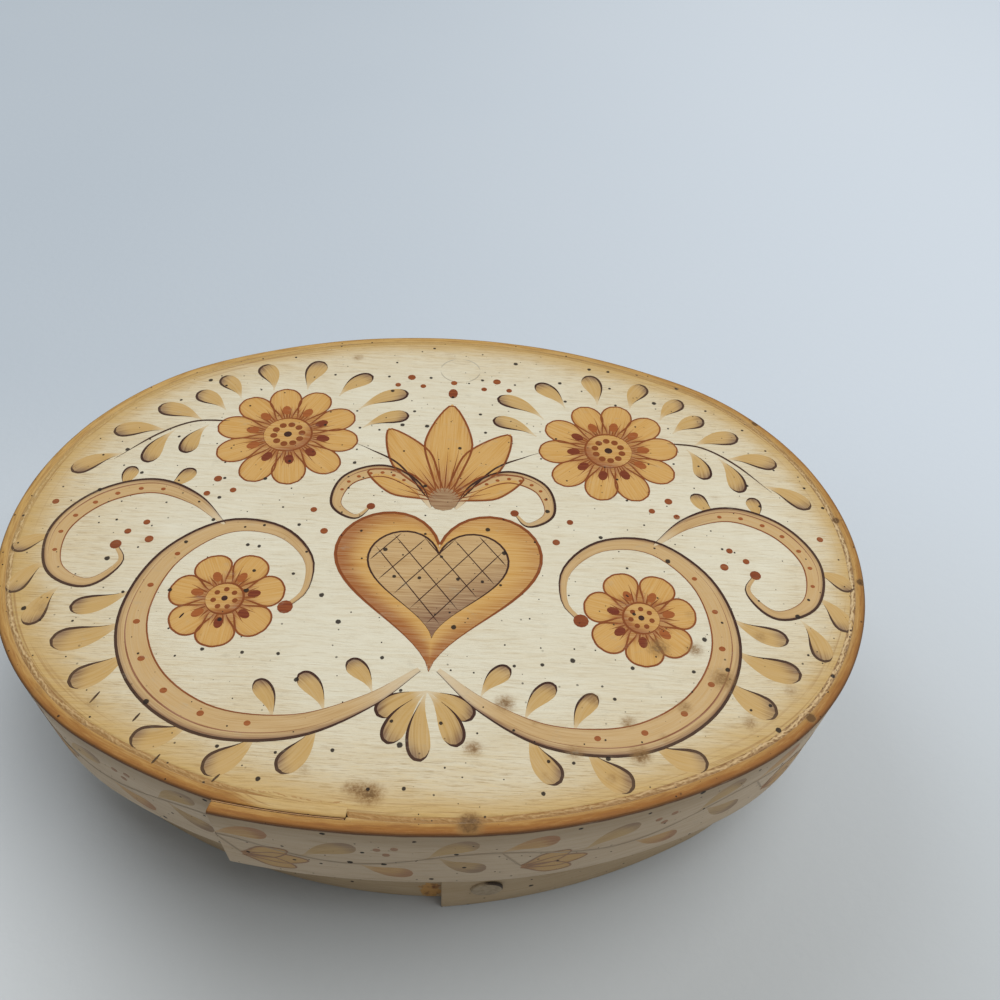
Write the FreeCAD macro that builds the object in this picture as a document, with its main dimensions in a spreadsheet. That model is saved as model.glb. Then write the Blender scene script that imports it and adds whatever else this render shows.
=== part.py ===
# Oval lapped bentwood box with a lift-off lid, lengths in millimetres.
# The origin is on the underside of the bottom board at the oval's centre, +X runs along the oval, +Z is up,
# and the two lapped ends are on the -Y side. The lid is shown closed.
import FreeCAD
import Part
import Sketcher
import math
import os

from FreeCAD import Vector

doc = FreeCAD.newDocument("OvalBox")


# Driving dimensions

SIZES = {
    # lid outline: an oval of four arcs, drawn on the outer face of the lid's strip
    "lid_length": 201,
    "lid_width": 147,
    "lid_end_radius": 65,
    # lid
    "lid_height": 25,
    "lid_strip": 2.4,
    "lid_board": 5,
    "lid_lap_end": -37.8,
    "lid_lap_inner_end": -13,
    "lid_lap_blend": 10,
    "lid_lap_flatness": 1.455,
    "seam_width": 1,
    "seam_depth": 1.5,
    # fit of the lid on the base
    "lid_clearance": 0.3,
    "seat_clearance": 0.2,
    # base
    "base_height": 44.8,
    "base_strip": 2.1,
    "base_board": 5,
    "base_lap_end": 4.7,
    "base_lap_inner_end": 34,
    "base_lap_blend": 0.7,
    "base_lap_flatness": 1.174,
    # lap joints
    "glue_line": 0.15,
    "lap_tuck": 0.02,
    # rivets of the base's lap
    "rivet_from_lap_end": 9.8,
    "rivet_lower_level": 10.7,
    "rivet_upper_level": 34,
    "rivet_head_radius": 3.55,
    "rivet_head_bevel": 0.4,
    "rivet_head_thickness": 0.8,
    "rivet_lower_proud": 0.7,
    "rivet_upper_proud": -0.1,
    "rivet_shank_radius": 1.3,
    "rivet_peen_radius": 2,
    "rivet_peen_height": 0.7,
    "rove_radius": 3.2,
    "rove_thickness": 0.8,
    "rove_clearance": 0.01,
    # brads that hold the strips to the boards
    "brad_count": 8,
    "brad_radius": 0.6,
    "brad_sink": 0.3,
    "brad_bite": 6,
}

sizes = doc.addObject("Spreadsheet::Sheet", "Sizes")
for row, (alias, number) in enumerate(SIZES.items(), start=1):
    sizes.set(f"A{row}", alias)
    sizes.set(f"B{row}", str(number))
    sizes.setAlias(f"B{row}", alias)
doc.recompute()


# Values worked out from the driving dimensions

worked = doc.addObject("App::VarSet", "Worked")


def work_out(name, expression):
    worked.addProperty("App::PropertyFloat", name)
    worked.setExpression(name, expression)
    worked.recompute()
    return "Worked." + name


side_radius = work_out(
    "side_radius",
    "((Sizes.lid_length ^ 2 + Sizes.lid_width ^ 2) / 4 - Sizes.lid_length * Sizes.lid_end_radius)"
    " / (Sizes.lid_width - 2 * Sizes.lid_end_radius)",
)
side_centre = work_out("side_centre", "Worked.side_radius - Sizes.lid_width / 2")
end_centre = work_out("end_centre", "Sizes.lid_length / 2 - Sizes.lid_end_radius")
side_share = work_out("side_share", "Worked.end_centre / (Worked.side_radius - Sizes.lid_end_radius)")
lid_step = work_out("lid_step", "Sizes.lid_strip + Sizes.glue_line")
base_step = work_out("base_step", "Sizes.base_strip + Sizes.glue_line")
base_inset = work_out("base_inset", "Sizes.lid_strip + Sizes.lid_clearance + Worked.base_step")
base_side_radius = work_out("base_side_radius", "Worked.side_radius - Worked.base_inset")
lid_top = work_out("lid_top", "Sizes.base_height + Sizes.seat_clearance + Sizes.lid_board")
lid_rim = work_out("lid_rim", "Worked.lid_top - Sizes.lid_height")


# Helpers

def sheet_value(alias):
    return float(getattr(sizes, alias))


def new_part(kind, label):
    part = doc.addObject("Part::" + kind, label)
    part.Label = label
    return part


def bind(part, **expressions):
    # A double underscore in a name stands for the dot of a sub-property, as in Placement__Base__z.
    for name, expression in expressions.items():
        part.setExpression(name.replace("__", "."), expression)
    return part


def cylinder(label, radius, height, x="0", y="0", z="0"):
    part = new_part("Cylinder", label)
    bind(part, Radius=radius, Height=height)
    return bind(part, Placement__Base__x=x, Placement__Base__y=y, Placement__Base__z=z)


def cut(label, base, tool):
    part = new_part("Cut", label)
    part.Base = base
    part.Tool = tool
    return part


def join(kind, label, shapes):
    part = new_part(kind, label)
    if kind == "Compound":
        part.Links = shapes
    else:
        part.Shapes = shapes
    return part


# Oval boards and rings: half an oval in a sketch, padded and mirrored

def half_oval(sketch, name, inset):
    # Adds the three arcs of the oval's +X half, drawn this far inside the lid's outline.
    inset_now = float(worked.evalExpression(inset))
    reach = worked.end_centre
    offset = worked.side_centre
    end_radius = sheet_value("lid_end_radius") - inset_now
    radius = worked.side_radius - inset_now
    joint = math.atan2(offset, reach)
    end_circle = Part.Circle(Vector(reach, 0, 0), Vector(0, 0, 1), end_radius)
    front_circle = Part.Circle(Vector(0, offset, 0), Vector(0, 0, 1), radius)
    back_circle = Part.Circle(Vector(0, -offset, 0), Vector(0, 0, 1), radius)
    front = sketch.addGeometry(Part.ArcOfCircle(front_circle, 1.5 * math.pi, 2 * math.pi - joint))
    end = sketch.addGeometry(Part.ArcOfCircle(end_circle, -joint, joint))
    back = sketch.addGeometry(Part.ArcOfCircle(back_circle, joint, 0.5 * math.pi))
    start, finish, centre = 1, 2, 3
    x_axis, y_axis, origin = -1, -2, (-1, 1)
    for constraint in (
        ("Tangent", front, finish, end, start),
        ("Tangent", end, finish, back, start),
        ("PointOnObject", front, centre, y_axis),
        ("PointOnObject", back, centre, y_axis),
        ("PointOnObject", end, centre, x_axis),
        ("PointOnObject", front, start, y_axis),
        ("PointOnObject", back, finish, y_axis),
    ):
        sketch.addConstraint(Sketcher.Constraint(*constraint))
    half_width = sheet_value("lid_width") / 2 - inset_now
    for key, constraint, expression in (
        ("end_radius", ("Radius", end, end_radius), f"Sizes.lid_end_radius - {inset}"),
        ("end_centre", ("DistanceX", *origin, end, centre, reach), end_centre),
        ("front_width", ("DistanceY", front, start, *origin, half_width), f"Sizes.lid_width / 2 - {inset}"),
        ("back_width", ("DistanceY", *origin, back, finish, half_width), f"Sizes.lid_width / 2 - {inset}"),
    ):
        index = sketch.addConstraint(Sketcher.Constraint(*constraint))
        sketch.renameConstraint(index, f"{name}_{key}")
        sketch.setExpression(f"Constraints.{name}_{key}", expression)
    return (front, start), (back, finish)


def closing_line(sketch, from_end, to_end):
    ends = [sketch.getPoint(*from_end), sketch.getPoint(*to_end)]
    line = sketch.addGeometry(Part.LineSegment(*ends))
    sketch.addConstraint(Sketcher.Constraint("Coincident", line, 1, *from_end))
    sketch.addConstraint(Sketcher.Constraint("Coincident", line, 2, *to_end))


def oval_body(label, outer_inset, level, height, inner_inset=None):
    # A board as wide as the outline at outer_inset, or a ring where inner_inset is given.
    body = doc.addObject("PartDesign::Body", label)
    planes = {plane.Role: plane for plane in body.Origin.OriginFeatures}
    sketch = body.newObject("Sketcher::SketchObject", label + "_outline")
    sketch.AttachmentSupport = [(planes["XY_Plane"], "")]
    sketch.MapMode = "FlatFace"
    sketch.setExpression("AttachmentOffset.Base.z", level)
    outer_front, outer_back = half_oval(sketch, "outer", outer_inset)
    if inner_inset is None:
        closing_line(sketch, outer_back, outer_front)
    else:
        inner_front, inner_back = half_oval(sketch, "inner", inner_inset)
        closing_line(sketch, outer_front, inner_front)
        closing_line(sketch, outer_back, inner_back)
    doc.recompute()
    pad = body.newObject("PartDesign::Pad", label + "_pad")
    pad.Profile = sketch
    pad.setExpression("Length", height)
    doc.recompute()
    mirrored = body.newObject("PartDesign::Mirrored", label + "_whole")
    mirrored.Originals = [pad]
    mirrored.MirrorPlane = (planes["YZ_Plane"], [""])
    body.Tip = mirrored
    doc.recompute()
    return body


# Lapped ends: the outer end leaves the strip's face along a circle flatter than the side

def lap_circle(prefix, radius, step, blend):
    # The circle stands one step out at the lap's end and sinks into the strip's face at the blend.
    end_angle = work_out(f"{prefix}_lap_end_angle", f"asin(Sizes.{prefix}_lap_end / {radius}) / 1deg")
    blend_angle = work_out(f"{prefix}_lap_blend_angle", f"asin(({blend}) / {radius}) / 1deg")
    raised = f"({radius} + {step})"
    sunk = f"({radius} - Sizes.lap_tuck)"
    end_x = work_out(f"{prefix}_lap_end_x", f"{raised} * sin({end_angle} * 1deg)")
    end_y = work_out(f"{prefix}_lap_end_y", f"-{raised} * cos({end_angle} * 1deg)")
    blend_x = work_out(f"{prefix}_lap_blend_x", f"{sunk} * sin({blend_angle} * 1deg)")
    blend_y = work_out(f"{prefix}_lap_blend_y", f"-{sunk} * cos({blend_angle} * 1deg)")
    along = f"({blend_x} - {end_x})"
    across = f"({blend_y} - {end_y})"
    chord = work_out(f"{prefix}_lap_chord", f"sqrt({along} ^ 2 + {across} ^ 2)")
    lap_radius = work_out(f"{prefix}_lap_radius", f"{radius} * Sizes.{prefix}_lap_flatness")
    depth = work_out(f"{prefix}_lap_depth", f"sqrt({lap_radius} ^ 2 - {chord} ^ 2 / 4)")
    shift_x = work_out(
        f"{prefix}_lap_shift_x", f"({end_x} + {blend_x}) / 2 - {across} / {chord} * {depth}"
    )
    shift_y = work_out(
        f"{prefix}_lap_shift_y", f"({end_y} + {blend_y}) / 2 + {along} / {chord} * {depth}"
    )
    return {
        "x": shift_x,
        "y": f"{side_centre} + {shift_y}",
        "shift_y": shift_y,
        "radius": lap_radius,
        "blend": blend_x,
    }


def lap_window(label, first, last, level, height):
    # The part of the front between two places along X.
    window = new_part("Box", label)
    bind(window, Length=f"{last} - {first}", Width=f"Sizes.lid_width", Height=height)
    return bind(window, Placement__Base__x=first, Placement__Base__y="-Sizes.lid_width", Placement__Base__z=level)


def lap_parts(prefix, circle, strip, radius, level, height, film_label):
    # Gives the outer end that stands on the strip, and the glue film under it.
    at_circle = {"height": height, "x": circle["x"], "y": circle["y"], "z": level}
    disc = cylinder(prefix + "_lap_disc", circle["radius"], **at_circle)
    core = cylinder(prefix + "_lap_core", f"{radius} - {strip} / 2", height, y=side_centre, z=level)
    end, inner_end = f"Sizes.{prefix}_lap_end", f"Sizes.{prefix}_lap_inner_end"
    leaf_window = lap_window(prefix + "_leaf_window", end, circle["blend"], level, height)
    leaf = join("MultiCommon", prefix + "_leaf", [cut(prefix + "_lap_ring", disc, core), leaf_window])
    film_outer = cylinder(prefix + "_film_outer", f"{circle['radius']} - {strip}", **at_circle)
    film_inner = cylinder(
        prefix + "_film_inner", f"{circle['radius']} - {strip} - Sizes.glue_line", **at_circle
    )
    film_ring = cut(prefix + "_film_ring", film_outer, film_inner)
    film_window = lap_window(prefix + "_film_window", end, inner_end, level, height)
    film = join("MultiCommon", film_label, [film_ring, film_window])
    return leaf, film


# Brads: headless pins square to the oval, sunk under its face

def brad(prefix, number, angle, inset, strip, level):
    cosine = math.cos(math.radians(angle))
    sine = math.sin(math.radians(angle))
    on_end = f"abs({cosine:.9f}) > {side_share}"
    on_side_centre = f"{-math.copysign(1, sine):.0f} * {side_centre}"
    on_end_centre = f"{math.copysign(1, cosine):.0f} * {end_centre}"
    depth = f"({inset} + Sizes.brad_sink)"
    end_reach = f"(Sizes.lid_end_radius - {depth})"
    side_reach = f"({side_radius} - {depth})"
    pin = cylinder(
        f"{prefix}_brad_{number}",
        "Sizes.brad_radius",
        f"{strip} - Sizes.brad_sink + Sizes.brad_bite",
        x=f"{on_end} ? {on_end_centre} + {end_reach} * {cosine:.9f} : {side_reach} * {cosine:.9f}",
        y=f"{on_end} ? {end_reach} * {sine:.9f} : {on_side_centre} + {side_reach} * {sine:.9f}",
        z=level,
    )
    pin.Placement.Rotation = FreeCAD.Rotation(Vector(0, 0, 1), Vector(-cosine, -sine, 0))
    return pin


def brads(prefix, inset, strip, level):
    count = int(sheet_value("brad_count"))
    return [
        brad(prefix, number + 1, 360 * (number + 0.5) / count, inset, strip, level)
        for number in range(count)
    ]


# Rivets of the base's lap, each closed over a rove inside the box

def on_rivet_axis(part, outwards):
    # Lays a part along the rivet, from this far outside the base's inner face, away from the side's centre.
    part.Placement.Rotation = FreeCAD.Rotation(Vector(1, 0, 0), 90)
    bind(part, Placement__Base__y=f"-({base_side_radius} - Sizes.base_strip + {outwards})")
    return part


def place_rivet_part(part, level):
    part.Placement.Rotation = FreeCAD.Rotation(Vector(0, 0, 1), worked.rivet_angle)
    bind(part, Placement__Base__y=side_centre, Placement__Base__z=level)
    return bind(part, Placement__Rotation__Angle="Worked.rivet_angle * 1deg")


def frustum(label, foot_radius, top_radius, height):
    part = new_part("Cone", label)
    return bind(part, Radius1=foot_radius, Radius2=top_radius, Height=height)


def rivet(name, level, proud):
    head_foot = f"Worked.rivet_grip + {proud} - Sizes.rivet_head_thickness"
    rim = "Sizes.rivet_head_thickness - Sizes.rivet_head_bevel"
    head = cylinder(name + "_head", "Sizes.rivet_head_radius", rim)
    top = frustum(
        name + "_head_top",
        "Sizes.rivet_head_radius",
        "Sizes.rivet_head_radius - Sizes.rivet_head_bevel",
        "Sizes.rivet_head_bevel",
    )
    shank = cylinder(name + "_shank", "Sizes.rivet_shank_radius", f"{head_foot} - {rove_back}")
    peen = frustum(
        name + "_peen", "Sizes.rivet_shank_radius", "Sizes.rivet_peen_radius", "Sizes.rivet_peen_height"
    )
    on_rivet_axis(head, head_foot)
    on_rivet_axis(top, f"{head_foot} + {rim}")
    on_rivet_axis(shank, rove_back)
    on_rivet_axis(peen, f"{rove_back} - Sizes.rivet_peen_height")
    return place_rivet_part(join("MultiFuse", name, [peen, shank, head, top]), level)


def rove(name, level):
    disc = cylinder(name + "_disc", "Sizes.rove_radius", "Sizes.rove_thickness")
    hole = cylinder(name + "_hole", "Sizes.rivet_shank_radius", "Sizes.rove_thickness")
    for part in (disc, hole):
        on_rivet_axis(part, rove_back)
    return place_rivet_part(cut(name, disc, hole), level)


# Lid

lid_circle = lap_circle("lid", side_radius, lid_step, "Sizes.lid_lap_blend")
lid_leaf, lid_lap_glue = lap_parts(
    "lid", lid_circle, "Sizes.lid_strip", side_radius, lid_rim, "Sizes.lid_height", "lid_lap_glue"
)
lid_ring = oval_body("lid_ring", "0", lid_rim, "Sizes.lid_height", inner_inset="Sizes.lid_strip")
lid_brads = brads(
    "lid", "0", "Sizes.lid_strip", f"{lid_top} - Sizes.seam_depth - (Sizes.lid_board - Sizes.seam_depth) / 2"
)
lid_band_blank = join("MultiFuse", "lid_band_blank", [lid_ring, lid_leaf])
lid_band = cut("lid_band", lid_band_blank, join("Compound", "lid_band_holes", [lid_lap_glue] + lid_brads))
lid_seam_filler = oval_body(
    "lid_seam_filler",
    "Sizes.lid_strip",
    f"{lid_top} - Sizes.seam_depth",
    "Sizes.seam_depth",
    inner_inset="(Sizes.lid_strip + Sizes.seam_width)",
)
lid_board = oval_body("lid_board", "Sizes.lid_strip", f"{lid_top} - Sizes.lid_board", "Sizes.lid_board")
lid_panel = cut("lid_panel", lid_board, join("Compound", "lid_panel_holes", [lid_seam_filler] + lid_brads))


# Base

base_circle = lap_circle(
    "base", base_side_radius, base_step, f"{base_side_radius} * {side_share} - Sizes.base_lap_blend"
)
base_leaf, base_film = lap_parts(
    "base", base_circle, "Sizes.base_strip", base_side_radius, "0", "Sizes.base_height", "base_film"
)
base_inner_inset = f"({base_inset} + Sizes.base_strip)"
base_ring = oval_body("base_ring", base_inset, "0", "Sizes.base_height", inner_inset=base_inner_inset)
base_brads = brads("base", base_inset, "Sizes.base_strip", "Sizes.base_board / 2")

work_out(
    "rivet_angle", f"asin((Sizes.base_lap_end + Sizes.rivet_from_lap_end) / {base_side_radius}) / 1deg"
)
outwards = (
    f"({base_circle['x']} * sin(Worked.rivet_angle * 1deg)"
    f" - {base_circle['shift_y']} * cos(Worked.rivet_angle * 1deg))"
)
work_out("rivet_lap_shift", outwards)
work_out(
    "rivet_grip",
    f"Worked.rivet_lap_shift + sqrt({base_circle['radius']} ^ 2 + Worked.rivet_lap_shift ^ 2"
    f" - {base_circle['x']} ^ 2 - {base_circle['shift_y']} ^ 2) - {base_side_radius} + Sizes.base_strip",
)
# The flat rove touches the hollow inner face with its rim, so it stands off by the face's rise under it.
inner_face = f"({base_side_radius} - Sizes.base_strip)"
rove_back = work_out(
    "rove_back",
    f"sqrt({inner_face} ^ 2 - Sizes.rove_radius ^ 2) - {inner_face}"
    " - Sizes.rove_clearance - Sizes.rove_thickness",
)
rivets = [
    rivet("base_rivet_lower", "Sizes.rivet_lower_level", "Sizes.rivet_lower_proud"),
    rivet("base_rivet_upper", "Sizes.rivet_upper_level", "Sizes.rivet_upper_proud"),
]
roves = [
    rove("base_rove_lower", "Sizes.rivet_lower_level"),
    rove("base_rove_upper", "Sizes.rivet_upper_level"),
]

rivet_holes = join("Compound", "rivet_holes", rivets)
base_lap_glue = cut("base_lap_glue", base_film, rivet_holes)
base_band_blank = join("MultiFuse", "base_band_blank", [base_ring, base_leaf])
base_band_holes = join("Compound", "base_band_holes", [base_film] + base_brads + rivets)
base_band = cut("base_band", base_band_blank, base_band_holes)
base_board = oval_body("base_board", base_inner_inset, "0", "Sizes.base_board")
base_panel = cut("base_panel", base_board, join("Compound", "base_panel_holes", base_brads))


# Check the document and write one file for each piece

doc.recompute()

for item in doc.Objects:
    if "Invalid" in item.State or "Error" in item.State:
        raise RuntimeError(f"{item.Label} failed: {item.State}")

nodes = [lid_panel, lid_band, lid_seam_filler, lid_lap_glue, *lid_brads]
nodes += [base_panel, base_band, base_lap_glue, *base_brads, *rivets, *roves]

for node in nodes:
    if node.Shape.isNull() or not node.Shape.isValid():
        raise RuntimeError(f"{node.Label} has no valid shape")

os.makedirs("parts", exist_ok=True)
for node in nodes:
    box = node.Shape.BoundBox
    print(f"{node.Label:20s} solids {len(node.Shape.Solids)} volume {node.Shape.Volume:10.1f}"
          f" x {box.XMin:7.2f} {box.XMax:7.2f} y {box.YMin:7.2f} {box.YMax:7.2f}"
          f" z {box.ZMin:6.2f} {box.ZMax:6.2f}")
    node.Shape.exportStep(f"parts/{node.Label}.step")
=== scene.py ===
import math

import bpy
import numpy as np
from mathutils import Matrix


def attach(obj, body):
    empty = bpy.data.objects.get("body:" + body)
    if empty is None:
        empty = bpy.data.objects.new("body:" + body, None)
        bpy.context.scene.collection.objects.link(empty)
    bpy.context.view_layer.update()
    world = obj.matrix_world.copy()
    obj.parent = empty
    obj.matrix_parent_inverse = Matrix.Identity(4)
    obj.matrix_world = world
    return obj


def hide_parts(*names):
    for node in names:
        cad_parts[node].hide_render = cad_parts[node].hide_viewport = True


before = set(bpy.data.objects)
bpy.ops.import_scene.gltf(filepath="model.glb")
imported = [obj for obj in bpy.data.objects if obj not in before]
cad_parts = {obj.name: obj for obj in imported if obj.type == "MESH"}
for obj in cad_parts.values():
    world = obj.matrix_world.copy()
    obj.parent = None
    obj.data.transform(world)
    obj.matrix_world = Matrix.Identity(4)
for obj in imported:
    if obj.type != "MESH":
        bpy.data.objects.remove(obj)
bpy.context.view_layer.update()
mm = 0.001  # shapes are worked out in millimetres and written in metres
rng = np.random.default_rng(81)

# the lid's outline: two end arcs and two side arcs; sideShare is the normal's x where they meet
oval = {"endCentre": 35.5, "endRadius": 65, "sideCentre": 69.88, "sideRadius": 143.38, "sideShare": 0.4529,
        "halfLong": 100.5, "halfWide": 73.5}


def ovalPoint(turn, inset):
    # The point whose outward normal has this angle, moved inwards by the inset
    c, s = np.cos(turn), np.sin(turn)
    end, side = oval["endRadius"] - inset, oval["sideRadius"] - inset
    onEnd = np.abs(c) > oval["sideShare"]
    x = np.where(onEnd, np.sign(c) * oval["endCentre"] + end * c, side * c)
    y = np.where(onEnd, end * s, side * s - np.sign(s) * oval["sideCentre"])
    return np.stack([x, y], -1)


def rimGap(x, y):
    # Distance in from the lid's outline: arc radius less the distance from that arc's centre
    ax, ay = np.abs(x), np.abs(y)
    onSide = (ay + oval["sideCentre"]) * oval["endCentre"] > oval["sideCentre"] * ax
    side = oval["sideRadius"] - np.hypot(ax, ay + oval["sideCentre"])
    end = oval["endRadius"] - np.hypot(ax - oval["endCentre"], ay)
    return np.where(onSide, side, end)


def smooth(value, low, high):
    t = np.clip((value - low) / (high - low), 0, 1)
    return t * t * (3 - 2 * t)


def rounds(count):
    # Angles evenly spread over a full turn
    return np.linspace(0, 2 * math.pi, count, endpoint=False)


def ray(angle):
    # Unit vectors at these angles
    return np.stack([np.cos(angle), np.sin(angle)], -1)


def facing(turn):
    # The direction that looks out of the box at these angles from the front
    return np.stack([np.sin(turn), -np.cos(turn)], -1)


def runOf(line):
    # Length along a line of points, up to each point
    return np.concatenate([[0], np.cumsum(np.hypot(*np.diff(line, axis=0).T))])


def ripple(along, seed):
    # A slow hand-made unevenness from -1 to 1: a sum of six sines with seeded phases
    r = np.random.default_rng(seed)
    waves = (np.sin(along * r.uniform(0.3, 1) * k + r.uniform(0, 6.28)) / k for k in range(1, 7))
    return np.clip(sum(waves) / 2, -1, 1)


def loopTube(grid, marks):
    # A grid that closes on itself both ways, such as a washer or a bead of filler
    rings, points = grid.shape[:2]
    index = np.arange(rings * points).reshape(rings, points)
    beside, ahead = np.roll(index, -1, axis=1), np.roll(index, -1, axis=0)
    quads = np.stack([index, beside, np.roll(beside, -1, axis=0), ahead], -1).reshape(-1, 4)
    kept = {name: np.asarray(value, float).reshape(rings * points, -1) for name, value in marks.items()}
    return {"verts": grid.reshape(-1, 3), "quads": quads, "tris": np.zeros((0, 3), int), "marks": kept, "material": 0}


def tube(grid, marks, material=0):
    # grid is rings x points x 3 in mm. Each end is closed by a fan to the middle of its ring.
    rings, points = grid.shape[:2]
    index = np.arange(rings * points).reshape(rings, points)
    beside = np.roll(index, -1, axis=1)
    quads = np.stack([index[:-1], beside[:-1], beside[1:], index[1:]], -1).reshape(-1, 4)
    startFan = np.stack([beside[0], index[0], np.full(points, rings * points)], -1)
    endFan = np.stack([index[-1], beside[-1], np.full(points, rings * points + 1)], -1)

    def withEnds(value):
        value = np.asarray(value, float).reshape(rings, points, -1)
        return np.vstack([value.reshape(rings * points, -1), value[0].mean(0), value[-1].mean(0)])

    kept = {name: withEnds(value) for name, value in marks.items()}
    return {"verts": withEnds(grid), "quads": quads, "tris": np.vstack([startFan, endFan]), "marks": kept,
            "material": material}


def outward(t):
    # Quads and triangles turned to face out: the signed volume tells which way they point
    v, quads, tris = t["verts"] - t["verts"].mean(0), t["quads"], t["tris"]
    corners = np.vstack([quads[:, [0, 1, 2]], quads[:, [0, 2, 3]], tris])
    volume = np.einsum("ij,ij->i", v[corners[:, 0]], np.cross(v[corners[:, 1]], v[corners[:, 2]])).sum()
    return (quads[:, ::-1], tris[:, ::-1]) if volume < 0 else (quads, tris)


def linked(name, data):
    made = bpy.data.objects.new(name, data)
    bpy.context.scene.collection.objects.link(made)
    return made


def piece(name, tubes, materials, body, sharp=50, replaces=()):
    # Joins tubes into one mesh with its attributes and puts it on its body
    verts, faces, materialOf, start = [], [], [], 0
    for t in tubes:
        quads, tris = outward(t)
        verts.append(t["verts"])
        faces += (quads + start).tolist() + (tris + start).tolist()
        materialOf.append(np.broadcast_to(t["material"], len(quads) + len(tris)))
        start += len(t["verts"])
    mesh = bpy.data.meshes.new(name)
    mesh.from_pydata((np.vstack(verts) * mm).tolist(), [], faces)
    for key in tubes[0]["marks"]:
        values = np.vstack([t["marks"][key] for t in tubes]).astype(np.float32)
        kind, field = ("FLOAT", "value") if values.shape[1] == 1 else ("FLOAT_VECTOR", "vector")
        mesh.attributes.new(key, kind, "POINT").data.foreach_set(field, values.ravel())
    for finish in materials:
        mesh.materials.append(finish)
    mesh.polygons.foreach_set("material_index", np.concatenate(materialOf).astype(np.int32))
    mesh.polygons.foreach_set("use_smooth", np.ones(len(faces), bool))
    mesh.set_sharp_from_angle(angle=math.radians(sharp))
    mesh.update()
    obj = linked(name, mesh)
    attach(obj, body)
    if replaces:
        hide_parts(*replaces)


class Value:
    # A socket with operators: each one adds its Math node
    def __init__(self, finish, socket):
        self.finish, self.socket = finish, socket

    def math(self, operation, *values):
        return self.finish.node("ShaderNodeMath", {"operation": operation}, dict(enumerate(values)))

    def __add__(self, other):
        return self.math("ADD", self, other)

    def __sub__(self, other):
        return self.math("SUBTRACT", self, other)

    def __rsub__(self, other):
        return self.math("SUBTRACT", other, self)

    def __mul__(self, other):
        return self.math("MULTIPLY", self, other)

    def __truediv__(self, other):
        return self.math("DIVIDE", self, other)

    def __pow__(self, other):
        return self.math("POWER", self, other)

    __radd__ = __add__
    __rmul__ = __mul__


class Finish:
    # One material. shader holds the values that are the same all over the surface.
    def __init__(self, name, **shader):
        self.material = bpy.data.materials.new(name)
        self.material.use_nodes = True
        self.tree = self.material.node_tree
        self.shader = self.tree.nodes["Principled BSDF"]
        for key, value in shader.items():
            self.shader.inputs[key.replace("_", " ")].default_value = value

    def node(self, kind, settings, sockets, out=0):
        made = self.tree.nodes.new(kind)
        for key, value in settings.items():
            setattr(made, key, value)
        for key, value in sockets.items():
            if isinstance(value, Value):
                self.tree.links.new(value.socket, made.inputs[key])
            else:
                made.inputs[key].default_value = value
        return Value(self, made.outputs[out])

    def vector(self, operation, a, b):
        return self.node("ShaderNodeVectorMath", {"operation": operation}, {0: a, 1: b})

    def mark(self, name, out="Fac"):
        return self.node("ShaderNodeAttribute", {"attribute_name": name}, {}, out)

    def place(self):
        # Object coordinates in millimetres
        return self.vector("MULTIPLY", self.node("ShaderNodeTexCoord", {}, {}, "Object"), (1000, 1000, 1000))

    def noise(self, at, factors, detail, roughness=0.5):
        # Noise at a place stretched by three factors, or by one for all
        factors = factors if isinstance(factors, tuple) else (factors,) * 3
        return self.node("ShaderNodeTexNoise", {"noise_dimensions": "3D"}, {
            "Vector": self.vector("MULTIPLY", at, factors), "Scale": 1.0, "Detail": detail, "Roughness": roughness})

    def step(self, value, low, high):
        return self.node("ShaderNodeMapRange", {"interpolation_type": "SMOOTHSTEP"}, {
            "Value": value, "From Min": low, "From Max": high, "To Min": 0.0, "To Max": 1.0})

    def mix(self, share, *tones):
        # Each tone is a name in paint or a socket
        a, b = (tone if isinstance(tone, Value) else (*paint[tone], 1.0) for tone in tones)
        return self.node("ShaderNodeMix", {"data_type": "RGBA", "clamp_factor": True}, {0: share, 6: a, 7: b}, 2)

    def dots(self, at, spacing, share, smallest, largest):
        # Round specks: a cell holds one where its random number passes, and its size is random too. All in mm.
        cells = {"voronoi_dimensions": "2D", "feature": "F1"}
        cell = {"Vector": self.vector("MULTIPLY", at, (1 / spacing, 1 / spacing, 1)), "Scale": 1.0}
        far, lot = (self.node("ShaderNodeTexVoronoi", cells, cell, out) for out in ("Distance", "Color"))
        pick, size = (self.node("ShaderNodeSeparateColor", {}, {0: lot}, part) for part in (0, 1))
        radius = (size * size * (largest - smallest) + smallest) / spacing
        wobble = self.noise(at, 2.2, 1.0) * 0.5 + 0.75
        inside = 1 - self.step(far / (radius * wobble), 0.75, 1.05)
        return inside * pick.math("LESS_THAN", pick, share)

    def finishWith(self, colour, roughness, height, depth):
        # depth is the bump's in metres; a roughness of None stays as the shader has it
        self.tree.links.new(colour.socket, self.shader.inputs["Base Color"])
        if roughness is not None:
            self.tree.links.new(roughness.socket, self.shader.inputs["Roughness"])
        bump = self.node("ShaderNodeBump", {}, {"Strength": 1.0, "Distance": depth, "Height": height})
        self.tree.links.new(bump.socket, self.shader.inputs["Normal"])
        return self.material


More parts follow.
